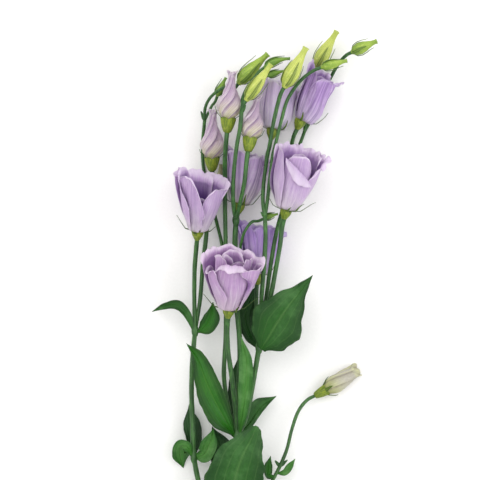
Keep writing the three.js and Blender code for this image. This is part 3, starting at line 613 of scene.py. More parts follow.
def row_across(value, s):
    """A petal's list of values as a smooth curve over s from -1 to 1, or its single number."""
    if np.isscalar(value):
        return np.full_like(s, float(value))
    knots = np.asarray(value, float)
    padded = np.concatenate([[2 * knots[0] - knots[1]], knots, [2 * knots[-1] - knots[-2]]])
    place = (s + 1) / 2 * (len(knots) - 1)
    i = np.minimum(place.astype(int), len(knots) - 2)
    w = place - i
    a, b, c, d = (padded[i + k] for k in range(4))
    return b + 0.5 * w * (c - a + w * (2 * a - 5 * b + 4 * c - d + w * (3 * (b - c) + d - a)))


def petal_body(axis, bloom, one, seed, s, t):
    """Angle, radius and height of a petal from its foot up to its rim line."""
    spread = np.where(s < 0, one["spread"][0], one["spread"][1])
    widened = one["half"] * (0.78 + 0.22 * smooth(0, 0.4, t)) + spread * smooth(0.35, 1, t)
    # A side that is folded back runs inwards again from its crease.
    turned = np.where(s < 0, one["turn"][0], one["turn"][1]) * np.sin(np.pi * smooth(0.3, 1.1, t))
    beyond = np.maximum(np.abs(s) - (1 - turned), 0)
    over = smooth(0, 0.4, beyond / np.maximum(turned, 1e-6)) * (turned > 0.01)
    angle = one["at"] + np.sign(s) * (np.abs(s) - 2 * beyond) * widened + bloom["twist"] * t
    arc = rim_arc(bloom, one, s)
    high = row_across(one["high"], s) * (1 - one["corner"] * np.abs(s) ** 7)
    high = high * (1 + one["frill"] * ripple(arc, (0.42, 0.012, seed), (0.95, 0.009, 2.3 * seed)))
    share = t * high
    pressed = 1 - bloom["pressed"] * np.maximum(0, np.cos(np.radians(angle - bloom["pressed_at"]))) ** 2
    reach = 1 + (row_across(one["reach"], s) - 1) * smooth(0.3, 1, t)
    radius = bloom["radius"] * one["scale"] * pressed * reach * goblet(share, bloom["fullness"])
    # The free edge stands a little proud and the covered edge lies close.
    free = FREE_EDGE * smooth(0.72, 1.0, s) * smooth(0.1, 0.4, t)
    radius = radius + one["lap"] * (PETAL_LAP * s * smooth(-0.05, 0.3, t) + free)
    # Lengthwise folds fade towards the foot.
    folds = ripple(s, (2.7, 0.7, seed), (6.1, 0.32, 1.7 * seed), (11.0, 0.13, 0.6 * seed))
    radius = radius + one["fold"] * folds * smooth(0.08, 0.7, t) + FOLD_STEP * over
    # The foot bulges down round the calyx, and the belly swells out above it.
    belly = belly_at(bloom, angle)
    radius = radius + belly * smooth(0, 0.12, t) * smooth(0.8, 0.25, t)
    height = PETAL_ROOT + (axis.length - PETAL_ROOT) * share
    height = height - FOOT_DROP * smooth(0, 0.04, t) * smooth(0.2, 0.05, t)
    height = height - 0.7 * belly * smooth(0, 0.1, t) * smooth(0.5, 0.1, t)
    return angle, radius, height


def rim_arc(bloom, one, s):
    """The length along a petal's rim, in mm, that its waves are laid out on."""
    return np.radians(one["at"] + s * one["half"]) * bloom["radius"] * one["scale"]


def petal_grid(axis, bloom, one, seed, columns, rows):
    """The middle surface of a petal: its body up to the rim line, then the rolled lip."""
    frill = one["frill"]
    body_rows = int(rows * BODY_ROWS)
    lip_rows = rows - body_rows
    s = np.linspace(-1, 1, columns + 1)[None, :]
    t = column(np.linspace(0, 1, body_rows + 1) ** 1.1)
    angle, radius, height = petal_body(axis, bloom, one, seed, s, t)
    arc = rim_arc(bloom, one, s)
    # The lip goes on from the rim line and turns outwards, unevenly along it.
    step = np.arctan2(radius[-1] - radius[-2], height[-1] - height[-2])
    lip = row_across(one["lip"], s)[0] * (1 - 0.75 * np.abs(s[0]) ** 6)
    lip = lip * (1 + 0.12 * frill * ripple(arc[0], (0.5, 1.0, 3 * seed), (1.15, 0.6, seed)))
    turning = np.radians(row_across(one["curl"], s)[0])
    turning = turning + frill * ripple(arc[0], (0.43, 0.34, seed + 1), (0.97, 0.24, 1.9 * seed))
    part = column((np.arange(lip_rows) + 0.5) / lip_rows)
    lean = step[None, :] + turning[None, :] * np.minimum(part / one["crease"], 1.0) ** 1.2
    out = np.cumsum(np.sin(lean), axis=0) * lip / lip_rows
    rise = np.cumsum(np.cos(lean), axis=0) * lip / lip_rows
    radius = np.vstack([radius, radius[-1] + out])
    height = np.vstack([height, height[-1] + rise])
    angle = np.vstack([angle, np.repeat(angle[-1:], lip_rows, axis=0)])
    lip_part = (np.arange(lip_rows) + 1) / lip_rows
    t = column(np.concatenate([t[:, 0] * RIM, RIM + (1 - RIM) * lip_part]))
    # A fine frill runs in patches along the edge.
    patch = 0.6 + 0.4 * np.sin(0.31 * arc + 5 * seed)
    fine = frill * patch * ripple(arc, (1.3, 0.2, 2.1 * seed), (2.9, 0.05, seed)) * smooth(0.82, 1, t)
    return s, t, axis.place(angle, np.maximum(radius + fine, AXIS_GAP), height)


def add_pistil(skin, axis):
    """The green ovary with its style and broad stigma, and five stamens round it."""
    around = ring(PISTIL_COLUMNS)
    radius = column([1.6, 2.6, 2.7, 2.3, 1.2, 0.75, 0.7, 1.6, 2.4, 2.2, 1.0])
    height = PETAL_ROOT + column([0.6, 2.5, 5.5, 8.5, 10.5, 12.0, 14.5, 15.2, 16.2, 17.0, 17.3])
    lobes = 1 + 0.22 * (height > PETAL_ROOT + 15) * np.cos(np.radians(2 * around))
    skin.loft(axis.place(around, radius * lobes, height), 0, 0, tag=1.0)
    across = ring(STAMEN_COLUMNS, TURN)
    width = column([0.35, 0.35, 0.32, 0.9, 1.05, 0.85, 0.3])
    height = PETAL_ROOT + column([1.0, 5.0, 9.5, 10.2, 12.0, 13.6, 14.2])
    away = column([3.2, 3.8, 4.5, 4.6, 4.8, 4.9, 5.0])
    for i in range(STAMENS):
        angle = 360 / STAMENS * i + 20 + np.degrees(width * np.sin(across) / away)
        skin.loft(axis.place(angle, away + width * np.cos(across), height), 0, 0, tag=1.0)


def add_tube(skin, axis, bloom):
    """The short bowl at the foot that the petals grow from, darkened inside by painted shade."""
    share = column([0.0, 0.02, 0.05, 0.09, 0.12, 0.12, 0.08, 0.04, 0.03])
    inward = column([0.86, 0.98, 1.0, 0.98, 0.94, 0.86, 0.76, 0.5, 0.2])
    # The outer rows are 1; the inner ones, 0, take the petal finish's painted shade.
    outer = column([1, 1, 1, 1, 1, 0, 0, 0, 0])
    radius = bloom["radius"] * goblet(share, bloom["fullness"]) * inward
    radius[0] = CUP_RADIUS * 0.8
    height = PETAL_ROOT - TUBE_SINK + (axis.length - PETAL_ROOT) * share
    around = ring(TUBE_COLUMNS)
    across = np.sin(np.radians(around * PETAL_COUNT / 2))
    skin.loft(axis.place(around, radius, height), across, share, tag=outer)


def make_corolla(bloom, material):
    """A bloom's petals, each thinner towards its edge, round the tube and the pistil."""
    axis = bloom_axis(bloom)
    skin = Skin()
    add_tube(skin, axis, bloom)
    add_pistil(skin, axis)
    for i, one in enumerate(bloom["petals"]):
        size = LARGE_PETAL if one["scale"] > LARGE_SCALE else SMALL_PETAL
        s, t, grid = petal_grid(axis, bloom, one, bloom["seed"] + PETAL_SEED_STEP * i, *size)
        edge = np.maximum(smooth(0.6, 1, np.abs(s)), smooth(0.8, 1, t))
        skin.shell(grid, PETAL_THICKNESS * lerp(THICK_MIDDLE, THIN_EDGE, edge), s, t)
    name = bloom["name"]
    return make_mesh(f"{name}_corolla", skin, material, "petals", f"{name}_petals")


def add_cup(skin, axis, radius, height, rib, rib_middle, scallop, scallop_from):
    """A closed cup with five ribs, its rim scalloped between them."""
    share = column(np.linspace(0, 1, len(radius)))
    around = ring(CUP_COLUMNS)
    wave = np.radians(PETAL_COUNT / 2 * around)
    ribs = 1 + rib * smooth(0.1, 0.5, share) * (np.abs(np.cos(wave)) - rib_middle)
    rise = height + scallop * smooth(scallop_from, 1, share) * np.abs(np.sin(wave))
    skin.loft(axis.place(around, radius * ribs, rise), 0.9 * np.cos(wave), share)


def make_calyx(bloom, material):
    """The green cup on the pedicel, with its thin sepals grown from the rim."""
    axis = bloom_axis(bloom)
    skin = Skin()
    share = column(np.linspace(0, 1, CUP_ROWS))
    radius = along([CUP_FOOT, 3.3, 4.5, CUP_RADIUS, CUP_RADIUS * 0.98], share)
    add_cup(skin, axis, radius, CUP_HEIGHT * share,
            rib=0.05, rib_middle=0.6, scallop=1.1, scallop_from=0.8)
    s, t = strip(SEPAL_COLUMNS, LONG_SEPAL_ROWS)
    for i, (angle, length, spread) in enumerate(bloom["sepals"]):
        rise = CUP_HEIGHT - SEPAL_SINK + length * t
        share = np.clip((rise + 2.4 - PETAL_ROOT) / (axis.length - PETAL_ROOT), 0.03, 1)
        belly = belly_at(bloom, angle) * smooth(0.8, 0.25, share)
        clear = bloom["radius"] * goblet(share, bloom["fullness"]) + belly + 0.5 * PETAL_LAP
        away = lerp(CUP_RADIUS - SEPAL_INSET, clear + SEPAL_CLEARANCE, smooth(0, 0.2, t)) + spread * t ** 1.5
        away = away + 0.12 * spread * np.sin(5.5 * t + i) * t * t - 0.25 * np.abs(s)
        drift = 5 * np.sin(3.2 * t + 1.3 * i) * t
        turn = angle + drift + s * blade_width(t, **BLOOM_SEPAL) * 36 / (away + 1)
        skin.sepal(axis.place(turn, away, rise), s, t)
    name = bloom["name"]
    return make_mesh(f"{name}_cup", skin, material, "calyx", f"{name}_calyx")


# In each bloom's tones the third colour is painted shade, inside the cup and in bands along the petals, and
# the last one also paints the highlights on ridges, lip and edges.
BLOOMS = [
    open_bloom([197, 240, 27], [202.5, 182, 45], radius=17.8, fullness=2.7,
        tones=["#dbbde6", "#a77dc4", HEART_SHADE, "#ece0ea", "#f0e4f4"],
        sepals=[[-84, 14, 4], [80, 8, 2.5], [-20, 5, 1], [175, 12, 0]],
        petals=[
            petal(-156, 58, (0.86, 0.88, 0.9, 0.95, 1.02), (1, 1, 1.02, 1.08, 1.22), (8, 9, 9, 9, 7), 38,
                corner=0, crease=0.3),
            petal(132, 58, (0.8, 0.84, 0.86, 0.88, 0.9), (1.16, 1.08, 1, 1, 1), (7, 9, 9, 9, 8), 40,
                crease=0.3),
            petal(62, 54, (0.76, 0.93, 0.93, 0.87, 0.84), (1, 1, 1.04, 1.12, 1.18), 2.5, 95, crease=0.6),
            petal(-34, 50, (1.06, 1.14, 1.14, 0.9, 0.46), (1.1, 1.05, 1, 1, 1), (2, 3, 3, 3, 2), 110,
                crease=0.6, turn=(0, 0.1), fold=1.5),
            petal(-84, 56, (1.1, 1.1, 1, 0.82, 0.6), (1.1, 1.12, 1.1, 1.02, 1), (5, 5, 4, 3, 2), 60,
                lap=1.3),
            petal(180, 56, 0.5, 0.9, 2, 10, scale=0.8, lap=0.3),
        ],
    ),
    open_bloom([228, 318, 38], [233.5, 258, 57], radius=21.5, fullness=2.7, flat=0.93,
        tones=["#d2add9", "#aa7dbd", "#7a4a94", "#e6cfe2", "#f4e8f5"],
        sepals=[[-86, 13, 5.5], [84, 16, 6.5], [30, 9, 1.5], [175, 12, 0]],
        petals=[
            petal(-145, 58, (0.94, 1.02, 0.97, 0.9, 0.84), (1, 1, 1, 1.06, 1.16), (4, 4, 5, 7, 7), 70,
                corner=0.05, frill=1),
            petal(148, 58, (0.82, 0.86, 0.92, 0.98, 0.96), (1.18, 1.1, 1, 1, 1), (6, 8, 6, 5, 4), 100,
                corner=0.05, frill=1.2),
            petal(2, 56, (0.78, 0.95, 0.98, 0.93, 0.74), 0.95, (1, 6, 10, 5, 1), 158, scale=0.98,
                crease=0.4, lap=-0.5),
            petal(-62, 56, (0.8, 0.68, 0.7, 0.8, 0.88), (1.08, 1.1, 1.06, 1, 1), (3, 3, 3, 3, 2), 95,
                spread=(0, -27), lap=1.5, crease=0.6, fold=1.4),
            petal(78, 40, (0.92, 0.88, 0.86, 0.86, 0.86), (0.97, 1.02, 1.08, 1.14, 1.14), (3, 3, 4, 4, 3),
                (110, 90, 70, 65, 65), spread=(22, 0), turn=(0.3, 0), lap=-1.3),
            petal(-48, 44, (0.8, 0.98, 1.05, 0.96, 0.8), 0.95, 3, 40, scale=0.7, lap=0.5, fold=2.2),
            petal(62, 44, (0.8, 0.95, 1, 0.98, 0.8), 0.95, 3, 60, scale=0.72, lap=0.5, fold=2.4),
            petal(178, 50, (0.85, 0.97, 1, 0.97, 0.85), 1, 3, 40, scale=0.62, lap=0.5, fold=1.8),
            petal(30, 60, (0.8, 0.9, 0.95, 0.9, 0.8), 0.9, 3, 60, scale=0.42, lap=0.4, fold=2),
            petal(-130, 60, (0.8, 0.9, 0.94, 0.9, 0.8), 0.9, 3, 30, scale=0.42, lap=0.4, fold=1.6),
        ],
    ),
    open_bloom([284, 219, 40], [299, 157, 50], radius=20, fullness=3, flat=0.95,
        tones=["#dcc0e6", "#ab84c4", "#8c5fae", "#efe2ee", "#f0e3f4"],
        sepals=[[-80, 9, 3], [76, 14, 6.5], [40, 12, 5], [10, 6, 1], [170, 12, 0]],
        petals=[
            petal(-150, 58, (1, 1.03, 1.04, 1.03, 1), (0.94, 0.9, 0.88, 0.88, 0.9), 6, 60, frill=1.5),
            petal(150, 58, (1.02, 1.02, 1.02, 1.02, 1), (0.96, 0.92, 0.9, 0.9, 0.9), 6, 60, frill=1.5),
            petal(96, 52, (0.6, 0.8, 0.93, 0.98, 0.98), (0.96, 1, 1.04, 1.02, 1), (3, 7, 8, 8, 6),
                (120, 105, 95, 85, 75), frill=1.7),
            petal(6, 46, (0.97, 0.9, 0.79, 0.68, 0.54), (0.9, 0.95, 0.98, 1, 1), (2, 9, 13, 10, 2),
                (165, 170, 172, 170, 150), frill=0.3, crease=0.25, corner=0),
            petal(-72, 50, (1, 1.04, 1.04, 0.98, 0.66), (0.94, 0.92, 0.9, 0.88, 0.98), (4, 4, 4, 3, 2), 45,
                lap=1.4),
            petal(4, 66, (0.8, 0.96, 1.01, 1, 0.84), 0.76, 2, -20, scale=0.88, lap=0.4, frill=0.2,
                fold=0.4),
            petal(170, 56, (0.85, 0.95, 0.98, 0.95, 0.85), 0.85, 2, 0, scale=0.62, lap=0.4),
            petal(60, 50, (0.8, 0.9, 0.95, 0.9, 0.8), 0.7, 2, 0, scale=0.5, lap=0.4),
        ],
    ),
    open_bloom([237.5, 214, 17.5], [248.5, 157, 16.4], radius=17.8, fullness=2.6, flat=0.9, twist=-6,
        band=0.42, tones=["#d4b6e2", "#8e64ad", HEART_SHADE, "#e6dadc", "#f0e6f5"],
        sepals=[[-84, 13, 1], [82, 15, 2], [20, 10, 0]],
        petals=[
            petal(-174, 56, (0.98, 1, 1.02, 1, 0.98), 1, 4, 45, frill=1.1),
            petal(114, 56, (0.86, 0.92, 0.95, 0.93, 0.9), (1, 1.05, 1.1, 1.06, 1), (4, 5, 6, 5, 4), 60,
                fold=2),
            petal(42, 50, (0.84, 0.94, 0.97, 0.93, 0.84), 1, (4, 5, 5, 4, 3), 75, frill=1.2, fold=2.6),
            petal(-34, 46, (0.84, 0.99, 1.04, 1.02, 0.88), 0.98, (2, 3, 3, 3, 2), 45, fold=2.4, crease=0.6),
            petal(-92, 46, (0.98, 1.05, 1.06, 1.02, 0.88), (1, 1.05, 1.06, 1, 0.96), (5, 6, 6, 4, 2), 80,
                fold=1.8),
            inner_petal(-10, 0.96), inner_petal(120, 0.9),
        ],
    ),
    open_bloom([257, 285, 17], [260.5, 229, 14.6], radius=16.8, fullness=2.8, flat=0.84, twist=-8,
        band=0.35, tones=["#c4a0e2", "#9068c2", "#5f3a9a", "#e2d2ea", "#e2d0f2"],
        sepals=[[-80, 12, 0.5], [80, 12, 0.5], [0, 9, 0]],
        petals=[
            petal(-178, 56, (0.96, 1, 1.02, 1, 0.98), 1, 4, 50, frill=1.1),
            petal(92, 56, (0.94, 0.92, 0.86, 0.78, 0.7), (1, 1.04, 1.1, 1.14, 1.08), (3, 4, 6, 8, 6),
                (45, 60, 80, 95, 95)),
            petal(28, 52, (0.8, 0.93, 0.96, 0.94, 0.9), 1, (3, 5, 5, 5, 4), (70, 95, 110, 95, 60),
                fold=1.8),
            petal(-46, 46, (0.62, 0.84, 0.98, 1, 0.86), 0.98, (2, 3, 4, 4, 3), (95, 80, 60, 60, 60),
                fold=1.8, crease=0.6),
            petal(-104, 50, (0.98, 1.06, 1.08, 1.04, 0.94), (1, 1.06, 1.1, 1.04, 1), (5, 7, 8, 6, 4), 85,
                frill=1.2),
            inner_petal(10, 0.95), inner_petal(140, 0.9),
        ],
    ),
    open_bloom([271, 139, 19], [281, 84, 15.6], radius=15.4, fullness=4.2, flat=0.96, twist=4,
        pressed_at=90, pressed=0.12, belly=(2.6, 1.6), band=0.2,
        # These tones are paler than the other blooms' as painted light, to lift the shade that this bloom
        # lies in under buds and stems.
        tones=["#ecd8f6", "#b898d8", "#6d4596", "#f2ecf6", "#fbf6fd"],
        sepals=[[-82, 13, 0.5], [50, 10, 0], [180, 12, 0]],
        petals=[
            petal(150, 56, (1, 1.04, 1.06, 1.06, 1.04), 0.95, 4, 40, frill=1.2),
            petal(78, 50, (0.85, 0.93, 0.96, 0.93, 0.86), 1, 3, 30, frill=0.6),
            petal(26, 48, (0.86, 0.92, 0.92, 0.88, 0.8), 1, (3, 6, 7, 5, 3), (60, 110, 140, 120, 70),
                frill=0.8, fold=1.6),
            petal(-42, 44, (0.7, 0.86, 0.95, 0.96, 0.86), (1, 1, 1, 0.98, 0.96), (2, 3, 4, 3, 2), 60,
                frill=0.8, fold=1.8),
            petal(-96, 50, (1.04, 1.1, 1.12, 1.06, 0.94), (1, 1.04, 1.08, 1.02, 0.98), (5, 7, 8, 6, 4), 100,
                frill=1.6),
            inner_petal(-20, 0.98), inner_petal(150, 0.9),
        ],
    ),
    open_bloom([297, 129, 21], [319.5, 77, 25], radius=12.2, fullness=4.2, flat=1.06, twist=-4,
        pressed_at=-90, pressed=0.14, belly=(4.2, 0.5), band=0.4,
        tones=["#cba8e0", "#9871bf", "#6d4596", "#e0cfea", "#ead9f4"],
        sepals=[[84, 16, 3], [0, 9, 0], [180, 11, 0]],
        petals=[
            petal(166, 56, (1, 1.02, 1.04, 1.04, 1.04), 0.98, 4, 40, frill=1.2),
            petal(92, 54, (0.92, 0.92, 0.9, 0.88, 0.84), (1, 1.12, 1.26, 1.22, 1.05), (4, 7, 9, 8, 5), 85,
                frill=1.1),
            petal(30, 50, (0.66, 0.86, 0.95, 0.95, 0.9), (1, 1, 1, 1.05, 1.12), (2, 4, 5, 5, 4), 80,
                fold=1.8),
            petal(-34, 44, (0.7, 0.88, 0.98, 1, 0.8), 0.98, (2, 3, 4, 4, 2), (60, 60, 70, 80, 60), fold=2),
            petal(-98, 50, (1.06, 1.14, 1.18, 1.12, 0.98), (1, 1, 1, 0.98, 0.96), (4, 5, 6, 5, 3), 45,
                frill=1.2),
            inner_petal(20, 0.98), inner_petal(150, 0.9),
        ],
    ),
]


# ---- buds ----

# The outlines of the buds from foot to tip, as shares of their radius.
GREEN_BUD = [0.38, 0.86, 1, 0.86, 0.6, 0.4, 0.34]
LILAC_BUD = [0.5, 0.9, 1, 0.84, 0.6, 0.4, 0.28, 0.3]
# How far the petals of an opening bud are wound about it from foot to tip.
LILAC_ROLL = math.radians(190)
PALE_ROLL = math.radians(60)
# Columns and rows of a petal's free end, and how far below the bud's tip it starts.
FREE_END = (11, 14)
FREE_END_THICKNESS = 0.35
FREE_END_SINK = 2.2
GREEN_COLUMNS = 50
GREEN_ROWS = 44
ROLLED_COLUMNS = 150
ROLLED_ROWS = 84
BUD_CUP_ROWS = 18
# How high the laps between the petals and the fine pleats on them stand, as shares of the radius.
GREEN_LAP = 0.055
ROLLED_LAP = 0.23
PLEAT = 0.012


def green_bud(look, base, tip, radius, bow, *sepals):
    """A closed bud. bow is how far its middle line bends, in mm; a sepal has its angle, its
    length as a share of the bud's, and how far its tip lifts off."""
    return dict(look=look, base=base, tip=tip, radius=radius, bow=bow, sepals=sepals)


def rolled_bud(name, foot, base, tip, radius, sepals, bow=(0, 0, 0), shape=LILAC_BUD):
    """A bud about to open, with its calyx from foot to base; a sepal as an open bloom's."""
    return dict(name=name, foot=foot, base=base, tip=tip, radius=radius, sepals=sepals, bow=bow,
                shape=shape)


def bud_line(bud, t):
    """A bud's middle line, bowed between its foot and its tip, and its direction, at each t."""
    start, end = plan(bud["base"]), plan(bud["tip"])
    middle = (start + end) / 2 + np.array(bud["bow"], float)
    t = column(t)
    points = start * (1 - t) ** 2 + middle * 2 * t * (1 - t) + end * t * t
    return points, unit((middle - start) * (1 - t) + (end - middle) * t)


def bud_sepal(i, angle, away, s, t):
    """How far a bud's narrow sepal is turned, in radians, and how far it stands from the axis."""
    away = away - 0.2 * np.abs(s)
    width = blade_width(t, **BUD_SEPAL)
    return math.radians(angle) + s * width / (away + 0.5) + 0.1 * np.sin(4 * t + i) * t, away


def make_green_bud(bud, name, material):
    """A closed bud: five petals rolled tight, a flared tip, and thin sepals that hug it."""
    skin = Skin()
    t = column(np.linspace(0, 1, GREEN_ROWS))
    around = ring(GREEN_COLUMNS, TURN)
    lap = (PETAL_COUNT * around / TURN) % 1.0
    ridge = GREEN_LAP * (smooth(0, 0.85, lap) - smooth(0.85, 1, lap) - 0.4) * smooth(0.12, 0.35, t)
    radius = bud["radius"] * along(GREEN_BUD, t) * (1 + ridge)
    radius = radius * (1 + 0.3 * smooth(0.93, 1, t) * np.sin(PETAL_COUNT * around) ** 2)
    skin.loft(round_rings(*bud_line(bud, t[:, 0]), around + 0.7 * t, radius), np.abs(lap - 0.5) * 2, t)
    s, t = strip(SEPAL_COLUMNS, SEPAL_ROWS)
    for i, (angle, length, lift) in enumerate(bud["sepals"]):
        share = 0.02 + length * t
        away = bud["radius"] * along(GREEN_BUD, share) + lerp(-0.4, 0.75, smooth(0, 0.2, t))
        turn, away = bud_sepal(i, angle, away + lift * t * t, s, t)
        skin.sepal(round_rings(*bud_line(bud, share[:, 0]), turn, away), s, t)
    return make_mesh(f"{name}_closed", skin, material, "green_bud", name)


def make_rolled_bud(bud, material, slot, roll, end_length, end_spread):
    """A bud about to open: petals wound round each other, each edge lapping the next."""
    skin = Skin()
    t = column(np.linspace(0, 1, ROLLED_ROWS))
    around = ring(ROLLED_COLUMNS, TURN)
    lap = (PETAL_COUNT * around / TURN) % 1.0
    step = smooth(0, 0.92, lap) - smooth(0.94, 1.0, lap)
    ridge = ROLLED_LAP * (step - 0.5) * smooth(0.06, 0.3, t) * (1 + 0.6 * t)
    pleat = PLEAT * np.sin(23 * around + 2 * np.sin(6 * t)) * smooth(0.2, 0.6, t)
    radius = bud["radius"] * along(bud["shape"], t) * (1 + ridge + pleat)
    centres, slope = bud_line(bud, t[:, 0])
    rings = round_rings(centres, slope, around + roll * t ** 0.9, radius)
    skin.loft(rings, 1 - 2 * lap, t, tag=1.0)
    # The free ends of the petals are bent a little apart at the tip.
    tip, ahead = centres[-1], slope[-1]
    right, up = sides(ahead)
    reach = bud["radius"] * bud["shape"][-1]
    s, t = strip(*FREE_END)
    for i in range(PETAL_COUNT):
        turn = TURN * i / PETAL_COUNT + roll + 0.85 * s * (1 - 0.3 * t) + 0.6 * t
        away = reach * (1.02 + end_spread * t ** 1.6) - 0.5 * (1 - t) ** 3
        away = away + 0.35 * np.sin(5 * s + 2 * i) * t
        uneven = (1 - 0.3 * s * s) * (1 + 0.18 * math.sin(2.4 * i))
        rise = (end_length + FREE_END_SINK) * t * uneven - FREE_END_SINK
        grid = tip + rise[..., None] * ahead + swing(right, up, turn, away)
        skin.shell(grid[:, ::-1], FREE_END_THICKNESS, -s, 0.9 + 0.1 * t)
    name = bud["name"]
    return make_mesh(f"{name}_rolled", skin, material, slot, f"{name}_petals")


def make_bud_calyx(bud, material):
    """A slim ribbed cup under a bud and thin sepals that lie along it."""
    skin = Skin()
    axis = Axis(bud["foot"], bud["base"])
    bud_length = path_length([plan(bud["base"]), plan(bud["tip"])])
    share = column(np.linspace(0, 1, BUD_CUP_ROWS))
    radius = lerp(CUP_FOOT, bud["radius"] * 0.68, share ** 0.55)
    add_cup(skin, axis, radius, share * (axis.length - 0.5),
            rib=0.07, rib_middle=0.5, scallop=1.8, scallop_from=0.7)
    s, t = strip(SEPAL_COLUMNS, SEPAL_ROWS)
    for i, (angle, length, spread) in enumerate(bud["sepals"]):
        height = axis.length * 0.8 + length * t
        share = np.clip((height - axis.length) / bud_length, 0, 1)
        clear = bud["radius"] * along(bud["shape"], share) * 1.1 + 0.7
        away = lerp(bud["radius"] * 0.55, clear, smooth(0, 0.3, t)) + spread * t * t
        turn, away = bud_sepal(i, angle, away, s, t)
        skin.sepal(axis.place(np.degrees(turn), away, height), s, t)
    name = bud["name"]
    return make_mesh(f"{name}_cup", skin, material, "calyx", f"{name}_calyx")


GREEN_BUDS = [
    green_bud("mid", [238, 84, 31], [268, 54, 33], 6.2, [-0.5, 1, 0], [-80, 0.75, 2.5], [20, 0.7, 0],
        [90, 0.6, 0]),
    green_bud("pale", [246, 101, 50], [271, 65, 56], 5.9, [0, 0.5, 1], [85, 0.6, 3], [-60, 0.6, 0],
        [20, 0.6, 0]),
    green_bud("deep", [264, 68, 40], [290, 59, 41], 3.4, [-1, 4, 1], [-70, 0.8, 0.5], [80, 0.7, 0.5]),
    green_bud("pale", [284, 88, 47], [306, 48, 50], 6.9, [0, 0, 1.5], [-75, 0.6, 0], [15, 0.62, 0],
        [85, 0.6, 0.5]),
    green_bud("pale", [316, 67, 9], [337, 31, 22], 6.2, [-0.5, 0, 1], [-85, 0.62, 1.5], [85, 0.62, 2],
        [10, 0.6, 0]),
    green_bud("mid", [321, 68, 40], [347, 61, 42], 4.2, [0, 0.6, 1], [85, 0.8, 1.5], [-70, 0.8, 0]),
    green_bud("mid", [352, 52, 19], [377, 41, 26], 5.3, [0, 0.6, 1], [-85, 0.7, 1.5], [85, 0.8, 1.5],
        [10, 0.6, 0]),
    green_bud("deep", [217, 96, 10], [226, 77, 12], 3.3, [-0.8, 0, 0.5], [-80, 0.85, 1], [60, 0.7, 0]),
    green_bud("deep", [264, 218.5, 31], [278, 214, 31], 2.6, [0, 0.8, 0], [-70, 0.8, 0.4], [80, 0.7, 0.4]),
    green_bud("deep", [267, 76.5, 39], [285, 71, 39], 2.7, [0, 1, 0], [-70, 0.7, 0.4], [80, 0.7, 0.3]),
    green_bud("cream", [217, 198, 6.8], [221, 164, 8], 4.4, [0, 0, 0], [-70, 0.4, 0], [80, 0.4, 0]),
]

LILAC_BUDS = [
    rolled_bud("bud_lilac_1", [227, 133, 39], [228.3, 119, 39.3], [232, 74, 40], 9.8,
        sepals=[[-84, 14, 1.2], [84, 12, 1], [180, 9, 0]]),
    rolled_bud("bud_lilac_2", [212, 171, 16], [212, 158, 17.5], [213, 112, 23], 9.6,
        sepals=[[84, 12, 2.5], [-84, 10, 0], [180, 9, 0]]),
    rolled_bud("bud_lilac_3", [248, 152, 45], [250, 139, 43], [257, 98, 37], 9.2,
        sepals=[[84, 11, 0.5], [-84, 8, 0], [180, 9, 0]]),
]

PALE_BUD = rolled_bud("bud_white", [315, 396.5, 7.8], [327, 390, 7.6], [355.5, 371.5, 6.6], 7.2,
    sepals=[[-80, 9, 0.5], [80, 9, 0.5], [0, 8, 0]], bow=[0.8, 0.8, 0],
    shape=[0.66, 0.95, 1, 0.96, 0.9, 0.82, 0.74, 0.72])


# ---- the stem ----

STEM_COLUMNS = 14
NODE_COLUMNS = 20
NODE_ROWS = 15
# How far apart the rings of a stem lie, and the radius at a node's ends.
RING_STEP = 2.2
NODE_END = 1.6
# How far a pedicel runs straight before its flower, and how far it reaches into it.
STRAIGHT = 7
INTO_CUP = 0.6
GREEN_STRAIGHT = 5
INTO_BUD = 0.5
BRACT_GRID = (9, 16)
BRACT_THICKNESS = 0.55

NODE_LOW = [226, 560, 13]
NODE_MAIN = [237, 437, 22]
NODE_LEFT_LOW = [194, 458, 17]
NODE_LEFT_TOP = [195, 331, 20]
NODE_RIGHT = [259, 348, 26]
NODE_MIDDLE = [236, 220, 24]
FORK_LEFT = [225, 262, 20]
FORK_BUD_1 = [204.5, 120, 9]
FORK_BUD_3 = [241.5, 113, 47]
FORK_RIGHT = [265, 217, 38]
FORK_BLOOM_6 = [266, 165, 38]
FORK_BLOOM_7 = [290, 168, 10]
FORK_BUD_7 = [304.5, 132, 9]
FORK_SIDE = [280, 467, 13]


def pedicel_end(foot, towards):
    """The last two places of a pedicel, in line with the flower that it carries."""
    base = plan(foot)
    axis = unit(plan(towards) - base)
    return [base - axis * STRAIGHT, base + axis * INTO_CUP]


def to_bloom(number):
    bloom = BLOOMS[number - 1]
    return pedicel_end(bloom["base"], bloom["mouth"])


def to_bud(bud):
    return pedicel_end(bud["foot"], bud["base"])


def to_green_bud(bud):
    base = plan(bud["base"])
    axis = bud_line(bud, [0.0])[1][0]
    return [base - axis * GREEN_STRAIGHT, base + axis * INTO_BUD]


def stretch(first, last, *places, end=()):
    """A stretch of stem from its first radius to its last, through places and on to its end."""
    return [plan(place) for place in places] + list(end), first, last


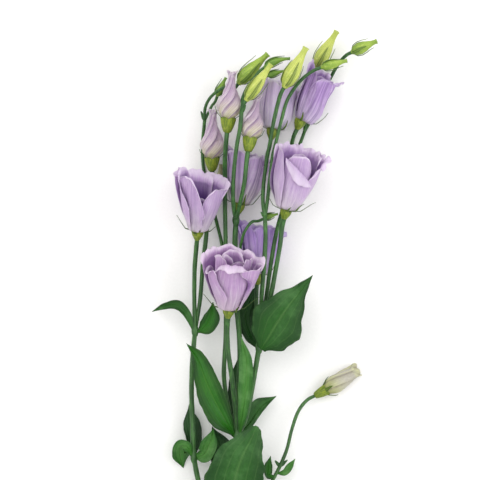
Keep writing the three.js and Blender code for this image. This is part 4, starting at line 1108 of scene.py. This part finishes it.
ROUTES = [
    stretch(3.3, 2.7, [216, 621, 3], [220, 590, 7], NODE_LOW, [231, 525, 17], [235, 490, 19],
        [237, 460, 20], NODE_MAIN),
    stretch(2.5, 2.1, NODE_LOW, [218, 545, 15], [207, 515, 17], [198, 480, 17], NODE_LEFT_LOW,
        [192.5, 425, 17], [191.5, 390, 18], [192.5, 360, 19], NODE_LEFT_TOP),
    stretch(1.9, 2, NODE_LEFT_TOP, [194.3, 300, 21], [194.6, 270, 23], end=to_bloom(1)),
    stretch(1.8, 2.2, NODE_LEFT_TOP, [200, 300, 18], [203, 262, 13], [206, 237, 10], [208, 205, 9],
        [209.5, 190, 11], end=to_bud(LILAC_BUDS[1])),
    stretch(2.2, 2.1, NODE_MAIN, [235.5, 412, 23], [232, 378, 28], [228, 350, 32], end=to_bloom(2)),
    stretch(2, 1.9, NODE_MAIN, [234, 428, 20], [228, 405, 18], [224, 378, 18], [225.5, 340, 19],
        [226, 300, 19], FORK_LEFT),
    stretch(1.8, 2.1, FORK_LEFT, [225.5, 240, 22], [225, 205, 25], [225, 182, 26], [225, 160, 33],
        end=to_bud(LILAC_BUDS[0])),
    stretch(1.5, 1.5, FORK_LEFT, [221, 240, 17], [216, 220, 11], [211, 200, 6], [207, 185, 3],
        [203, 165, 1.4], [202.5, 145, 2.6], FORK_BUD_1),
    stretch(1.3, 1.5, FORK_BUD_1, [205, 108, 12], [209, 99, 17], [216, 92, 22], [226, 87, 27],
        end=to_green_bud(GREEN_BUDS[0])),
    stretch(1.2, 1.3, FORK_BUD_1, [208, 113, 9], [212, 105, 9.5], end=to_green_bud(GREEN_BUDS[7])),
    stretch(2.4, 2.3, NODE_MAIN, [238, 400, 20], [240, 360, 20], [239, 330, 20], [236, 300, 20],
        [235, 265, 20], [235, 240, 22], NODE_MIDDLE),
    stretch(1.9, 2, NODE_MIDDLE, end=to_bloom(4)),
    stretch(1.8, 1.8, NODE_MIDDLE, [234, 210, 33], [233, 195, 40], [234, 170, 44], [237, 145, 47],
        [240.3, 127, 47.5], FORK_BUD_3, end=to_green_bud(GREEN_BUDS[1])),
    stretch(1.2, 1.3, FORK_BUD_3, [242, 100, 41.5], [247, 88, 40.5], [255, 77, 40.5],
        end=to_green_bud(GREEN_BUDS[2])),
    stretch(1.1, 1.2, FORK_BUD_3, [243, 102, 42], [249, 91, 38], [257, 82, 38],
        end=to_green_bud(GREEN_BUDS[9])),
    stretch(1.7, 2, NODE_MIDDLE, [238, 212, 33], [241, 199, 40], [244.5, 182, 46],
        end=to_bud(LILAC_BUDS[2])),
    stretch(1.2, 1.3, [235.5, 285, 20], [239, 262, 26], [241, 244, 32], [245, 231, 37], [252, 222, 35],
        end=to_green_bud(GREEN_BUDS[8])),
    stretch(1.2, 1.3, [214.8, 215, 9.8], [215.4, 209, 9], end=to_green_bud(GREEN_BUDS[10])),
    stretch(2.3, 2.2, NODE_MAIN, [245, 420, 23], [250, 400, 24], [254, 378, 25], NODE_RIGHT),
    stretch(2, 1.9, NODE_RIGHT, [260.5, 320, 29], [261.5, 298, 34], [264, 265, 40], [265.5, 235, 41],
        FORK_RIGHT),
    stretch(1.7, 1.7, FORK_RIGHT, [263, 203, 38], [263.5, 185, 38], FORK_BLOOM_6),
    stretch(1.6, 1.9, FORK_BLOOM_6, [267, 155, 33], end=to_bloom(6)),
    stretch(1.6, 1.8, FORK_BLOOM_6, [269, 148, 41], [273, 125, 43], [278, 103, 45],
        end=to_green_bud(GREEN_BUDS[3])),
    stretch(1.6, 1.5, FORK_RIGHT, [267.5, 200, 37], [270, 178, 39], [273, 155, 40], [277, 138, 41],
        [282, 118, 41], [287, 101, 40], [294, 89, 39.5], [304, 77.5, 39.5],
        end=to_green_bud(GREEN_BUDS[5])),
    stretch(2, 1.7, NODE_RIGHT, [263, 320, 24], [266, 300, 27], [270, 270, 33], [274, 245, 33],
        [278, 226, 27], [283, 208, 18], [287, 190, 12], FORK_BLOOM_7),
    stretch(1.6, 1.9, FORK_BLOOM_7, [291, 150, 13], end=to_bloom(7)),
    stretch(1.5, 1.5, FORK_BLOOM_7, [297, 152, 8], FORK_BUD_7),
    stretch(1.4, 1.7, FORK_BUD_7, [308, 112, 4], [313, 90, 3.4], end=to_green_bud(GREEN_BUDS[4])),
    stretch(1.3, 1.6, FORK_BUD_7, [311, 120, 4.5], [320, 98, 3.4], [330, 79, 5], [339, 63, 12],
        end=to_green_bud(GREEN_BUDS[6])),
    stretch(2, 2.1, NODE_RIGHT, [266, 318, 30], [271, 295, 34], [276, 268, 37], [280, 245, 38],
        end=to_bloom(3)),
    stretch(1.6, 1.9, NODE_RIGHT, [257.5, 330, 23], [256.5, 308, 19], end=to_bloom(5)),
    stretch(1.6, 1.5, NODE_LOW, [240, 538, 13], [258, 508, 13], [271, 484, 13], FORK_SIDE, [287, 450, 13],
        [292, 430, 13], [299, 411, 11], end=to_bud(PALE_BUD)),
]

SWOLLEN = [NODE_LOW, NODE_MAIN, NODE_LEFT_LOW, NODE_LEFT_TOP, NODE_RIGHT, NODE_MIDDLE]

# The small scales where stems fork: each has its place, its heading in degrees and its length.
BRACTS = [
    [FORK_BUD_1, 112, 9], [FORK_BUD_3, 60, 8], [FORK_RIGHT, 130, 6], [FORK_SIDE, 40, 9],
    [FORK_SIDE, 130, 7],
]


def tube(points, radius, columns):
    """A closed round tube along points, with a radius at each."""
    skin = Skin()
    directions = unit(np.gradient(points, axis=0))
    skin.loft(round_rings(points, directions, ring(columns, TURN), column(radius)), 0.0,
              column(np.linspace(0, 1, len(points))))
    return skin


def bract(place, heading, length):
    """A small pointed scale where stems fork."""
    skin = Skin()
    turn = math.radians(heading)
    ahead = unit(np.array([math.cos(turn), math.sin(turn), 0.15]))
    right, up = sides(ahead)
    s, t = strip(*BRACT_GRID)
    width = blade_width(t, **BRACT_SHAPE)
    rise = -0.6 * s * s * (1 - t) + 1.2 * t * t
    grid = (plan(place) + ahead * (length * t)[..., None] + right * (s * width)[..., None]
            + up * rise[..., None])
    skin.shell(grid, BRACT_THICKNESS - 0.25 * t, s, t)
    return skin


def join(piece, skins):
    """Grows the other skins onto a piece, as one closed body."""
    parts = bpy.data.collections.new("stem_parts")
    for k, skin in enumerate(skins):
        mesh = bpy.data.meshes.new(f"stem_part_{k}")
        mesh.from_pydata((np.vstack(skin.points) * MM).tolist(), [], skin.faces)
        parts.objects.link(bpy.data.objects.new(mesh.name, mesh))
    bpy.context.scene.collection.children.link(parts)
    union = piece.modifiers.new("union", "BOOLEAN")
    union.operation = "UNION"
    union.operand_type = "COLLECTION"
    union.collection = parts
    union.solver = "MANIFOLD"
    bpy.context.view_layer.objects.active = piece
    with bpy.context.temp_override(object=piece, active_object=piece, selected_objects=[piece]):
        bpy.ops.object.modifier_apply(modifier=union.name)
    for one in list(parts.objects):
        bpy.data.objects.remove(one)
    bpy.data.collections.remove(parts)
    shade_smooth(piece.data)


def make_stem(material):
    """Every stretch of stem, the swollen nodes and the bracts, joined into one closed body."""
    skins = []
    for k, (places, first, last) in enumerate(ROUTES):
        length = path_length(places)
        t = np.linspace(0, 1, max(5, int(length / RING_STEP)))
        uneven = ripple(t * length, (0.11, 0.03, k), (0.37, 0.02, 2.1 * k))
        skins.append(tube(spline(places, t), lerp(first, last, t) * (1 + uneven), STEM_COLUMNS))
    t = np.linspace(0, 1, NODE_ROWS)
    radius = NODE_END + (NODE_RADIUS - NODE_END) * np.sin(math.pi * t) ** 0.7
    for place in SWOLLEN:
        points = plan(place) + np.array([0, 1, 0]) * ((2 * t - 1) * (NODE_HALF + 1))[:, None]
        skins.append(tube(points, radius, NODE_COLUMNS))
    skins.extend(bract(*one) for one in BRACTS)
    stem = make_mesh("stem_branching", skins[0], material, "stem", "stem")
    join(stem, skins[1:])
    return stem


# ---- leaves ----

LEAF_COLUMNS = 37
# How far apart the rows of a leaf lie, and the fewest and the most that it has.
ROW_STEP = 1.1
FEWEST_ROWS = 24
MOST_ROWS = 120
# In mm: the sunk rib, the ridges at its sides, the veins and the soft quilting.
RIB_DEPTH = 0.45
RIDGE_HEIGHT = 0.2
VEIN_HEIGHT = 0.14
QUILT_HEIGHT = 0.6
# Half widths up to which a leaf's wave and its relief are toned down.
WAVE_SPAN = 12
RELIEF_SPAN = 9


def leaf(name, look, spine, left, right=None, cup=1, roll=0):
    """A leaf. Its spine lies on the plan grid; left and right are half widths in grid steps from
    base to tip, the same ones where right isn't given; cup is how far the edges stand above the
    rib, in mm, and roll turns the leaf about its rib, in degrees."""
    return dict(name=name, look=look, spine=spine, left=left, right=right or left, cup=cup, roll=roll)


LEAVES = [
    leaf("leaf_left_tip", "sheen",
        [[193, 329, 21], [187, 314, 23], [178, 305, 21], [165, 306, 15], [151.5, 312, 9]],
        [1.5, 4, 5, 3.5, 0.4], [1.5, 4, 4.5, 3, 0.4], cup=1.5),
    leaf("leaf_left_round", "bright", [[198, 332, 22], [205, 327, 24], [211, 317, 26], [213, 302, 25]],
        [1.5, 7, 7, 0.6], [1.5, 9, 9, 0.6]),
    leaf("leaf_broad_right", "sheen",
        [[261, 349, 29], [268, 338, 36], [277, 323, 41], [289, 305, 43], [301, 290, 41.5], [312.8, 275, 38]],
        [5, 19.5, 27, 18, 7.5, 0.6], [5, 20, 27, 17.5, 6.5, 0.6], cup=2, roll=-6),
    leaf("leaf_dark_mid", "dark",
        [[258.5, 348.5, 24], [250, 336, 15], [245, 318, 12], [249, 302, 10], [257, 286, 7]],
        [1.5, 6, 9, 8, 0.5], cup=1.5),
    leaf("leaf_tall_front", "bright",
        [[234.8, 436.5, 22.5], [224.5, 418, 30], [214, 399, 33], [205, 379, 32.5],
         [197, 358, 29], [186.5, 343.5, 25]],
        [2, 14.5, 15, 11, 4, 0.5], [2, 8, 12, 12, 8, 0.5], cup=2.5),
    leaf("leaf_light_mid", "light",
        [[239.6, 434.5, 23.5], [243, 411, 31.5], [246, 385, 34], [246, 360, 34], [241, 336, 33]],
        [1.5, 5, 7.5, 7, 0.5], [1.5, 5, 7, 6, 0.5], cup=1.5),
    leaf("leaf_narrow_mid", "dark", [[235, 435, 20], [233, 408, 13], [234, 382, 11], [239, 356, 11]],
        [1.5, 5, 5, 0.5]),
    leaf("leaf_nub_right", "sheen",
        [[239.4, 434.5, 19], [249, 424, 16], [261, 408, 14], [276.5, 396.5, 11]], [1.5, 9, 10, 0.5],
        [1.5, 4.5, 4, 0.5], cup=1.5),
    leaf("leaf_big_front", "sheen",
        [[230, 538, 17], [230, 514, 30], [234, 484, 38], [241, 459, 41], [250, 441, 40], [257, 426, 36]],
        [2, 26, 30, 25, 14, 5], cup=3),
    leaf("leaf_fold_left_a", "light",
        [[192.5, 457, 18], [187, 447, 21], [181, 447, 17], [180, 456, 9], [183, 469, 0]],
        [1.5, 6, 9, 9, 0.8], [1.5, 5, 7, 8, 0.8]),
    leaf("leaf_fold_left_b", "light", [[196, 457, 18], [204, 455, 24], [210, 444, 26], [213.5, 428.5, 22]],
        [3, 8, 9, 0.6], [3, 8, 7.5, 0.6], cup=1.5),
    leaf("leaf_behind_left", "dark", [[194, 457, 15], [193, 440, 9], [191, 424, 7], [189, 405, 6]],
        [1.5, 7, 8, 0.5], [1.5, 9, 9, 0.5]),
    leaf("leaf_dark_low", "dark", [[235.5, 482, 17.5], [227, 464, 11], [219, 446, 9], [212, 427, 8]],
        [1.5, 13, 13, 0.5], [1.5, 10, 11, 0.5]),
    leaf("leaf_side_a", "bright", [[275, 478, 14], [269.5, 476, 15], [268.5, 467, 15], [270.8, 456.5, 12]],
        [1, 4, 4, 0.4], [1, 3.5, 4, 0.4], cup=0.5),
    leaf("leaf_side_b", "light", [[277, 474, 13], [285, 473, 14], [290, 467, 13], [295.5, 459.5, 10]],
        [1, 3.2, 3.4, 0.4], cup=0.5),
    leaf("leaf_low_a", "sheen", [[223, 560, 14], [208, 552, 16], [191, 547, 12], [173, 549, 4]],
        [2, 10, 10, 0.6], cup=1.5),
    leaf("leaf_low_b", "bright", [[229, 562, 14], [245, 563, 15], [261, 558, 11], [277, 548, 4]],
        [2, 9, 9, 0.6], cup=1.5),
]


def make_leaf(shape, looks, seed):
    """A leaf with a sunk rib, raised long veins, a waved margin and a thin edge."""
    spine = [plan(place) for place in shape["spine"]]
    length = path_length(spine)
    s, t = strip(LEAF_COLUMNS, int(np.clip(length / ROW_STEP, FEWEST_ROWS, MOST_ROWS)))
    size = np.abs(s)
    centre = spline(spine, t[:, 0])
    right, up = sides(unit(np.gradient(centre, axis=0)))
    roll = math.radians(shape["roll"])
    side = right * math.cos(roll) - up * math.sin(roll)
    left_half = GRID * along(shape["left"], t)
    right_half = GRID * along(shape["right"], t)
    span = float(max(left_half.max(), right_half.max()))
    half = np.where(s < 0, left_half, right_half) * (1 - 0.7 * smooth(0.97, 1, t))
    margin = 1 + 0.02 * ripple(t * length * 0.3, (1.0, 1.0, seed), (2.7, 0.6, 2 * seed)) * size ** 2
    wave = ripple(t * length * 0.16 + np.sign(s) * 1.3, (1.0, 0.75, seed), (2.3, 0.35, 1.6 * seed))
    rise = shape["cup"] * (s * s - 0.3) * np.sin(math.pi * t)
    rise = rise + wave * min(1.0, span / WAVE_SPAN) * size ** 2.6 * np.sin(math.pi * t) ** 0.7
    # The sunk rib between two low ridges, the veins and the soft quilting between them.
    rib = RIDGE_HEIGHT * np.exp(-((size - 0.17) / 0.08) ** 2) - RIB_DEPTH * np.exp(-(s / 0.075) ** 2)
    veins = VEIN_HEIGHT * np.cos(VEIN_PHASE * size * (1 - 0.35 * t)) * smooth(0.12, 0.3, size)
    quilt = QUILT_HEIGHT * np.sin(s * 5 + seed) * np.sin(t * length * 0.12 + seed)
    detail = (rib + veins + quilt) * min(1.0, span / RELIEF_SPAN) * smooth(0, 0.1, t) * smooth(1, 0.85, t)
    grid = (centre[:, None] + side[:, None] * (s * half * margin)[..., None]
            + up[:, None] * (rise + detail)[..., None])
    skin = Skin()
    skin.shell(grid, LEAF_THICKNESS * (1.15 - 0.7 * size ** 4) * (1 - 0.5 * t ** 3), s, t)
    return make_mesh(f"{shape['name']}_blade", skin, looks, "leaf", shape["name"])


# ---- the whole spray ----

BUD_MOTTLE = 420.0
# The seed of the first bloom's and leaf's waves, and how much it grows from one to the next.
BLOOM_SEED = 0.7
BLOOM_SEED_STEP = 1.9
LEAF_SEED = 0.4
LEAF_SEED_STEP = 1.7

calyx_green = green_finish("calyx_green", "#8f9f28", "#3c5e18", "#b6bc4e")
GREEN_LOOKS = dict(
    pale=green_finish("bud_pale_green", "#d2d96e", "#94ad42", "#eef0a6", BUD_MOTTLE),
    mid=green_finish("bud_mid_green", "#abc44e", "#5f8a2e", "#d0dc7c", BUD_MOTTLE),
    deep=green_finish("bud_deep_green", "#86ac42", "#3f702a", "#b2ca66", BUD_MOTTLE),
    cream=green_finish("bud_cream", "#c9c79a", "#8c9058", "#e6e2c4", BUD_MOTTLE),
)
LEAF_LOOKS = dict(
    bright=leaf_finish("leaf_bright", "#22690a", "#123f0a", "#437a28", "#6ea040", 0.22),
    sheen=leaf_finish("leaf_sheen", "#245c17", "#154210", "#4f8044", "#76a058", 0.5),
    dark=leaf_finish("leaf_dark", "#174a12", "#0c300c", "#346034", "#5c8a44", 0.35),
    light=leaf_finish("leaf_light", "#3c7a26", "#265e1c", "#6e9e5c", "#90b86c", 0.5),
)
# In the buds' finishes the second colour also paints shade beside the edge that covers each petal, the third
# is painted shade, and the last also paints highlights, free edges included.
lilac = petal_finish("petal_bud_lilac", "#d8bfd6", "#9d7ab0", "#9a74b0", "#dcd9a6", "#f3e9f0", wound=True)
pale = petal_finish("petal_bud_pale", "#d6d2c6", "#a69c8c", "#a8a08c", "#c4ca82", "#e2e2b8", wound=True)

make_stem(stem_finish())
for number, bloom in enumerate(BLOOMS):
    bloom["name"] = f"bloom_{number + 1}"
    bloom["seed"] = BLOOM_SEED + BLOOM_SEED_STEP * number
    make_corolla(bloom, petal_finish(f"petal_{bloom['name']}", *bloom["tones"], band=bloom["band"]))
    make_calyx(bloom, calyx_green)
for number, bud in enumerate(GREEN_BUDS):
    make_green_bud(bud, f"bud_green_{number + 1}", GREEN_LOOKS[bud["look"]])
for bud in LILAC_BUDS:
    make_rolled_bud(bud, lilac, "petals", LILAC_ROLL, end_length=2.4, end_spread=0.55)
    make_bud_calyx(bud, calyx_green)
make_rolled_bud(PALE_BUD, pale, "pale_bud", PALE_ROLL, end_length=3.4, end_spread=0.15)
make_bud_calyx(PALE_BUD, calyx_green)
for number, shape in enumerate(LEAVES):
    make_leaf(shape, LEAF_LOOKS[shape["look"]], LEAF_SEED + LEAF_SEED_STEP * number)


# ---- the stage ----

# Metres from here on: the width that the picture spans, and the middle of the view.
FRAME_WIDTH = 0.408
VIEW_CENTRE = (-0.0208, 0.0731, 0.03)
LENS = 500.0
SENSOR = 36.0
FLOOR_SIZE = 8.0
WORLD_LIGHT = 0.95
CLIP = (0.1, 60.0)


def make_floor():
    """The pale surface that the spray lies on."""
    bpy.ops.mesh.primitive_plane_add(size=FLOOR_SIZE, location=(0, 0, 0))
    floor = bpy.context.object
    floor.name = "floor"
    shader = Shader("floor_paper")
    grain = shader.noise(shader.object, 500.0, 3.0, 0.5)
    shade = shader.mix(shader.fit(grain, 0.3, 0.7, 0.0, 0.5), "#f6f5f4", "#fbfaf9")
    shader.bump(grain, 0.0001, 0.2)
    floor.data.materials.append(shader.finish(shade, 0.85, specular=0.1))


def make_light(name, place, size, power, tint):
    """A round lamp that shines on the middle of the view."""
    data = bpy.data.lights.new(name, "AREA")
    data.shape = "DISK"
    data.size = size
    data.energy = power
    data.color = tint
    lamp = bpy.data.objects.new(name, data)
    bpy.context.scene.collection.objects.link(lamp)
    lamp.location = place
    aim = np.array(VIEW_CENTRE) - np.array(place)
    lamp.rotation_euler = Vector(aim).to_track_quat("-Z", "Y").to_euler()


def make_camera():
    """A long lens straight above, as far up as makes the picture span FRAME_WIDTH."""
    data = bpy.data.cameras.new("camera")
    data.type = "PERSP"
    data.lens = LENS
    data.sensor_width = SENSOR
    data.clip_start, data.clip_end = CLIP
    camera = bpy.data.objects.new("camera", data)
    bpy.context.scene.collection.objects.link(camera)
    x, y, z = VIEW_CENTRE
    camera.location = (x, y, z + FRAME_WIDTH * LENS / SENSOR)
    camera.rotation_euler = (0, 0, 0)
    bpy.context.scene.camera = camera


def make_world():
    """Even white light from all round."""
    world = bpy.data.worlds.new("studio")
    world.use_nodes = True
    bpy.context.scene.world = world
    bpy.context.scene.view_settings.view_transform = "Standard"
    back = world.node_tree.nodes["Background"]
    back.inputs["Color"].default_value = (1.0, 1.0, 1.0, 1.0)
    back.inputs["Strength"].default_value = WORLD_LIGHT


make_floor()
make_world()
make_light("key", place=(-0.7, 0.8, 2.0), size=2.6, power=20.0, tint=(1.0, 0.99, 0.97))
make_light("fill", place=(1.5, 0.2, 1.4), size=1.6, power=13.0, tint=(0.97, 0.98, 1.0))
make_camera()
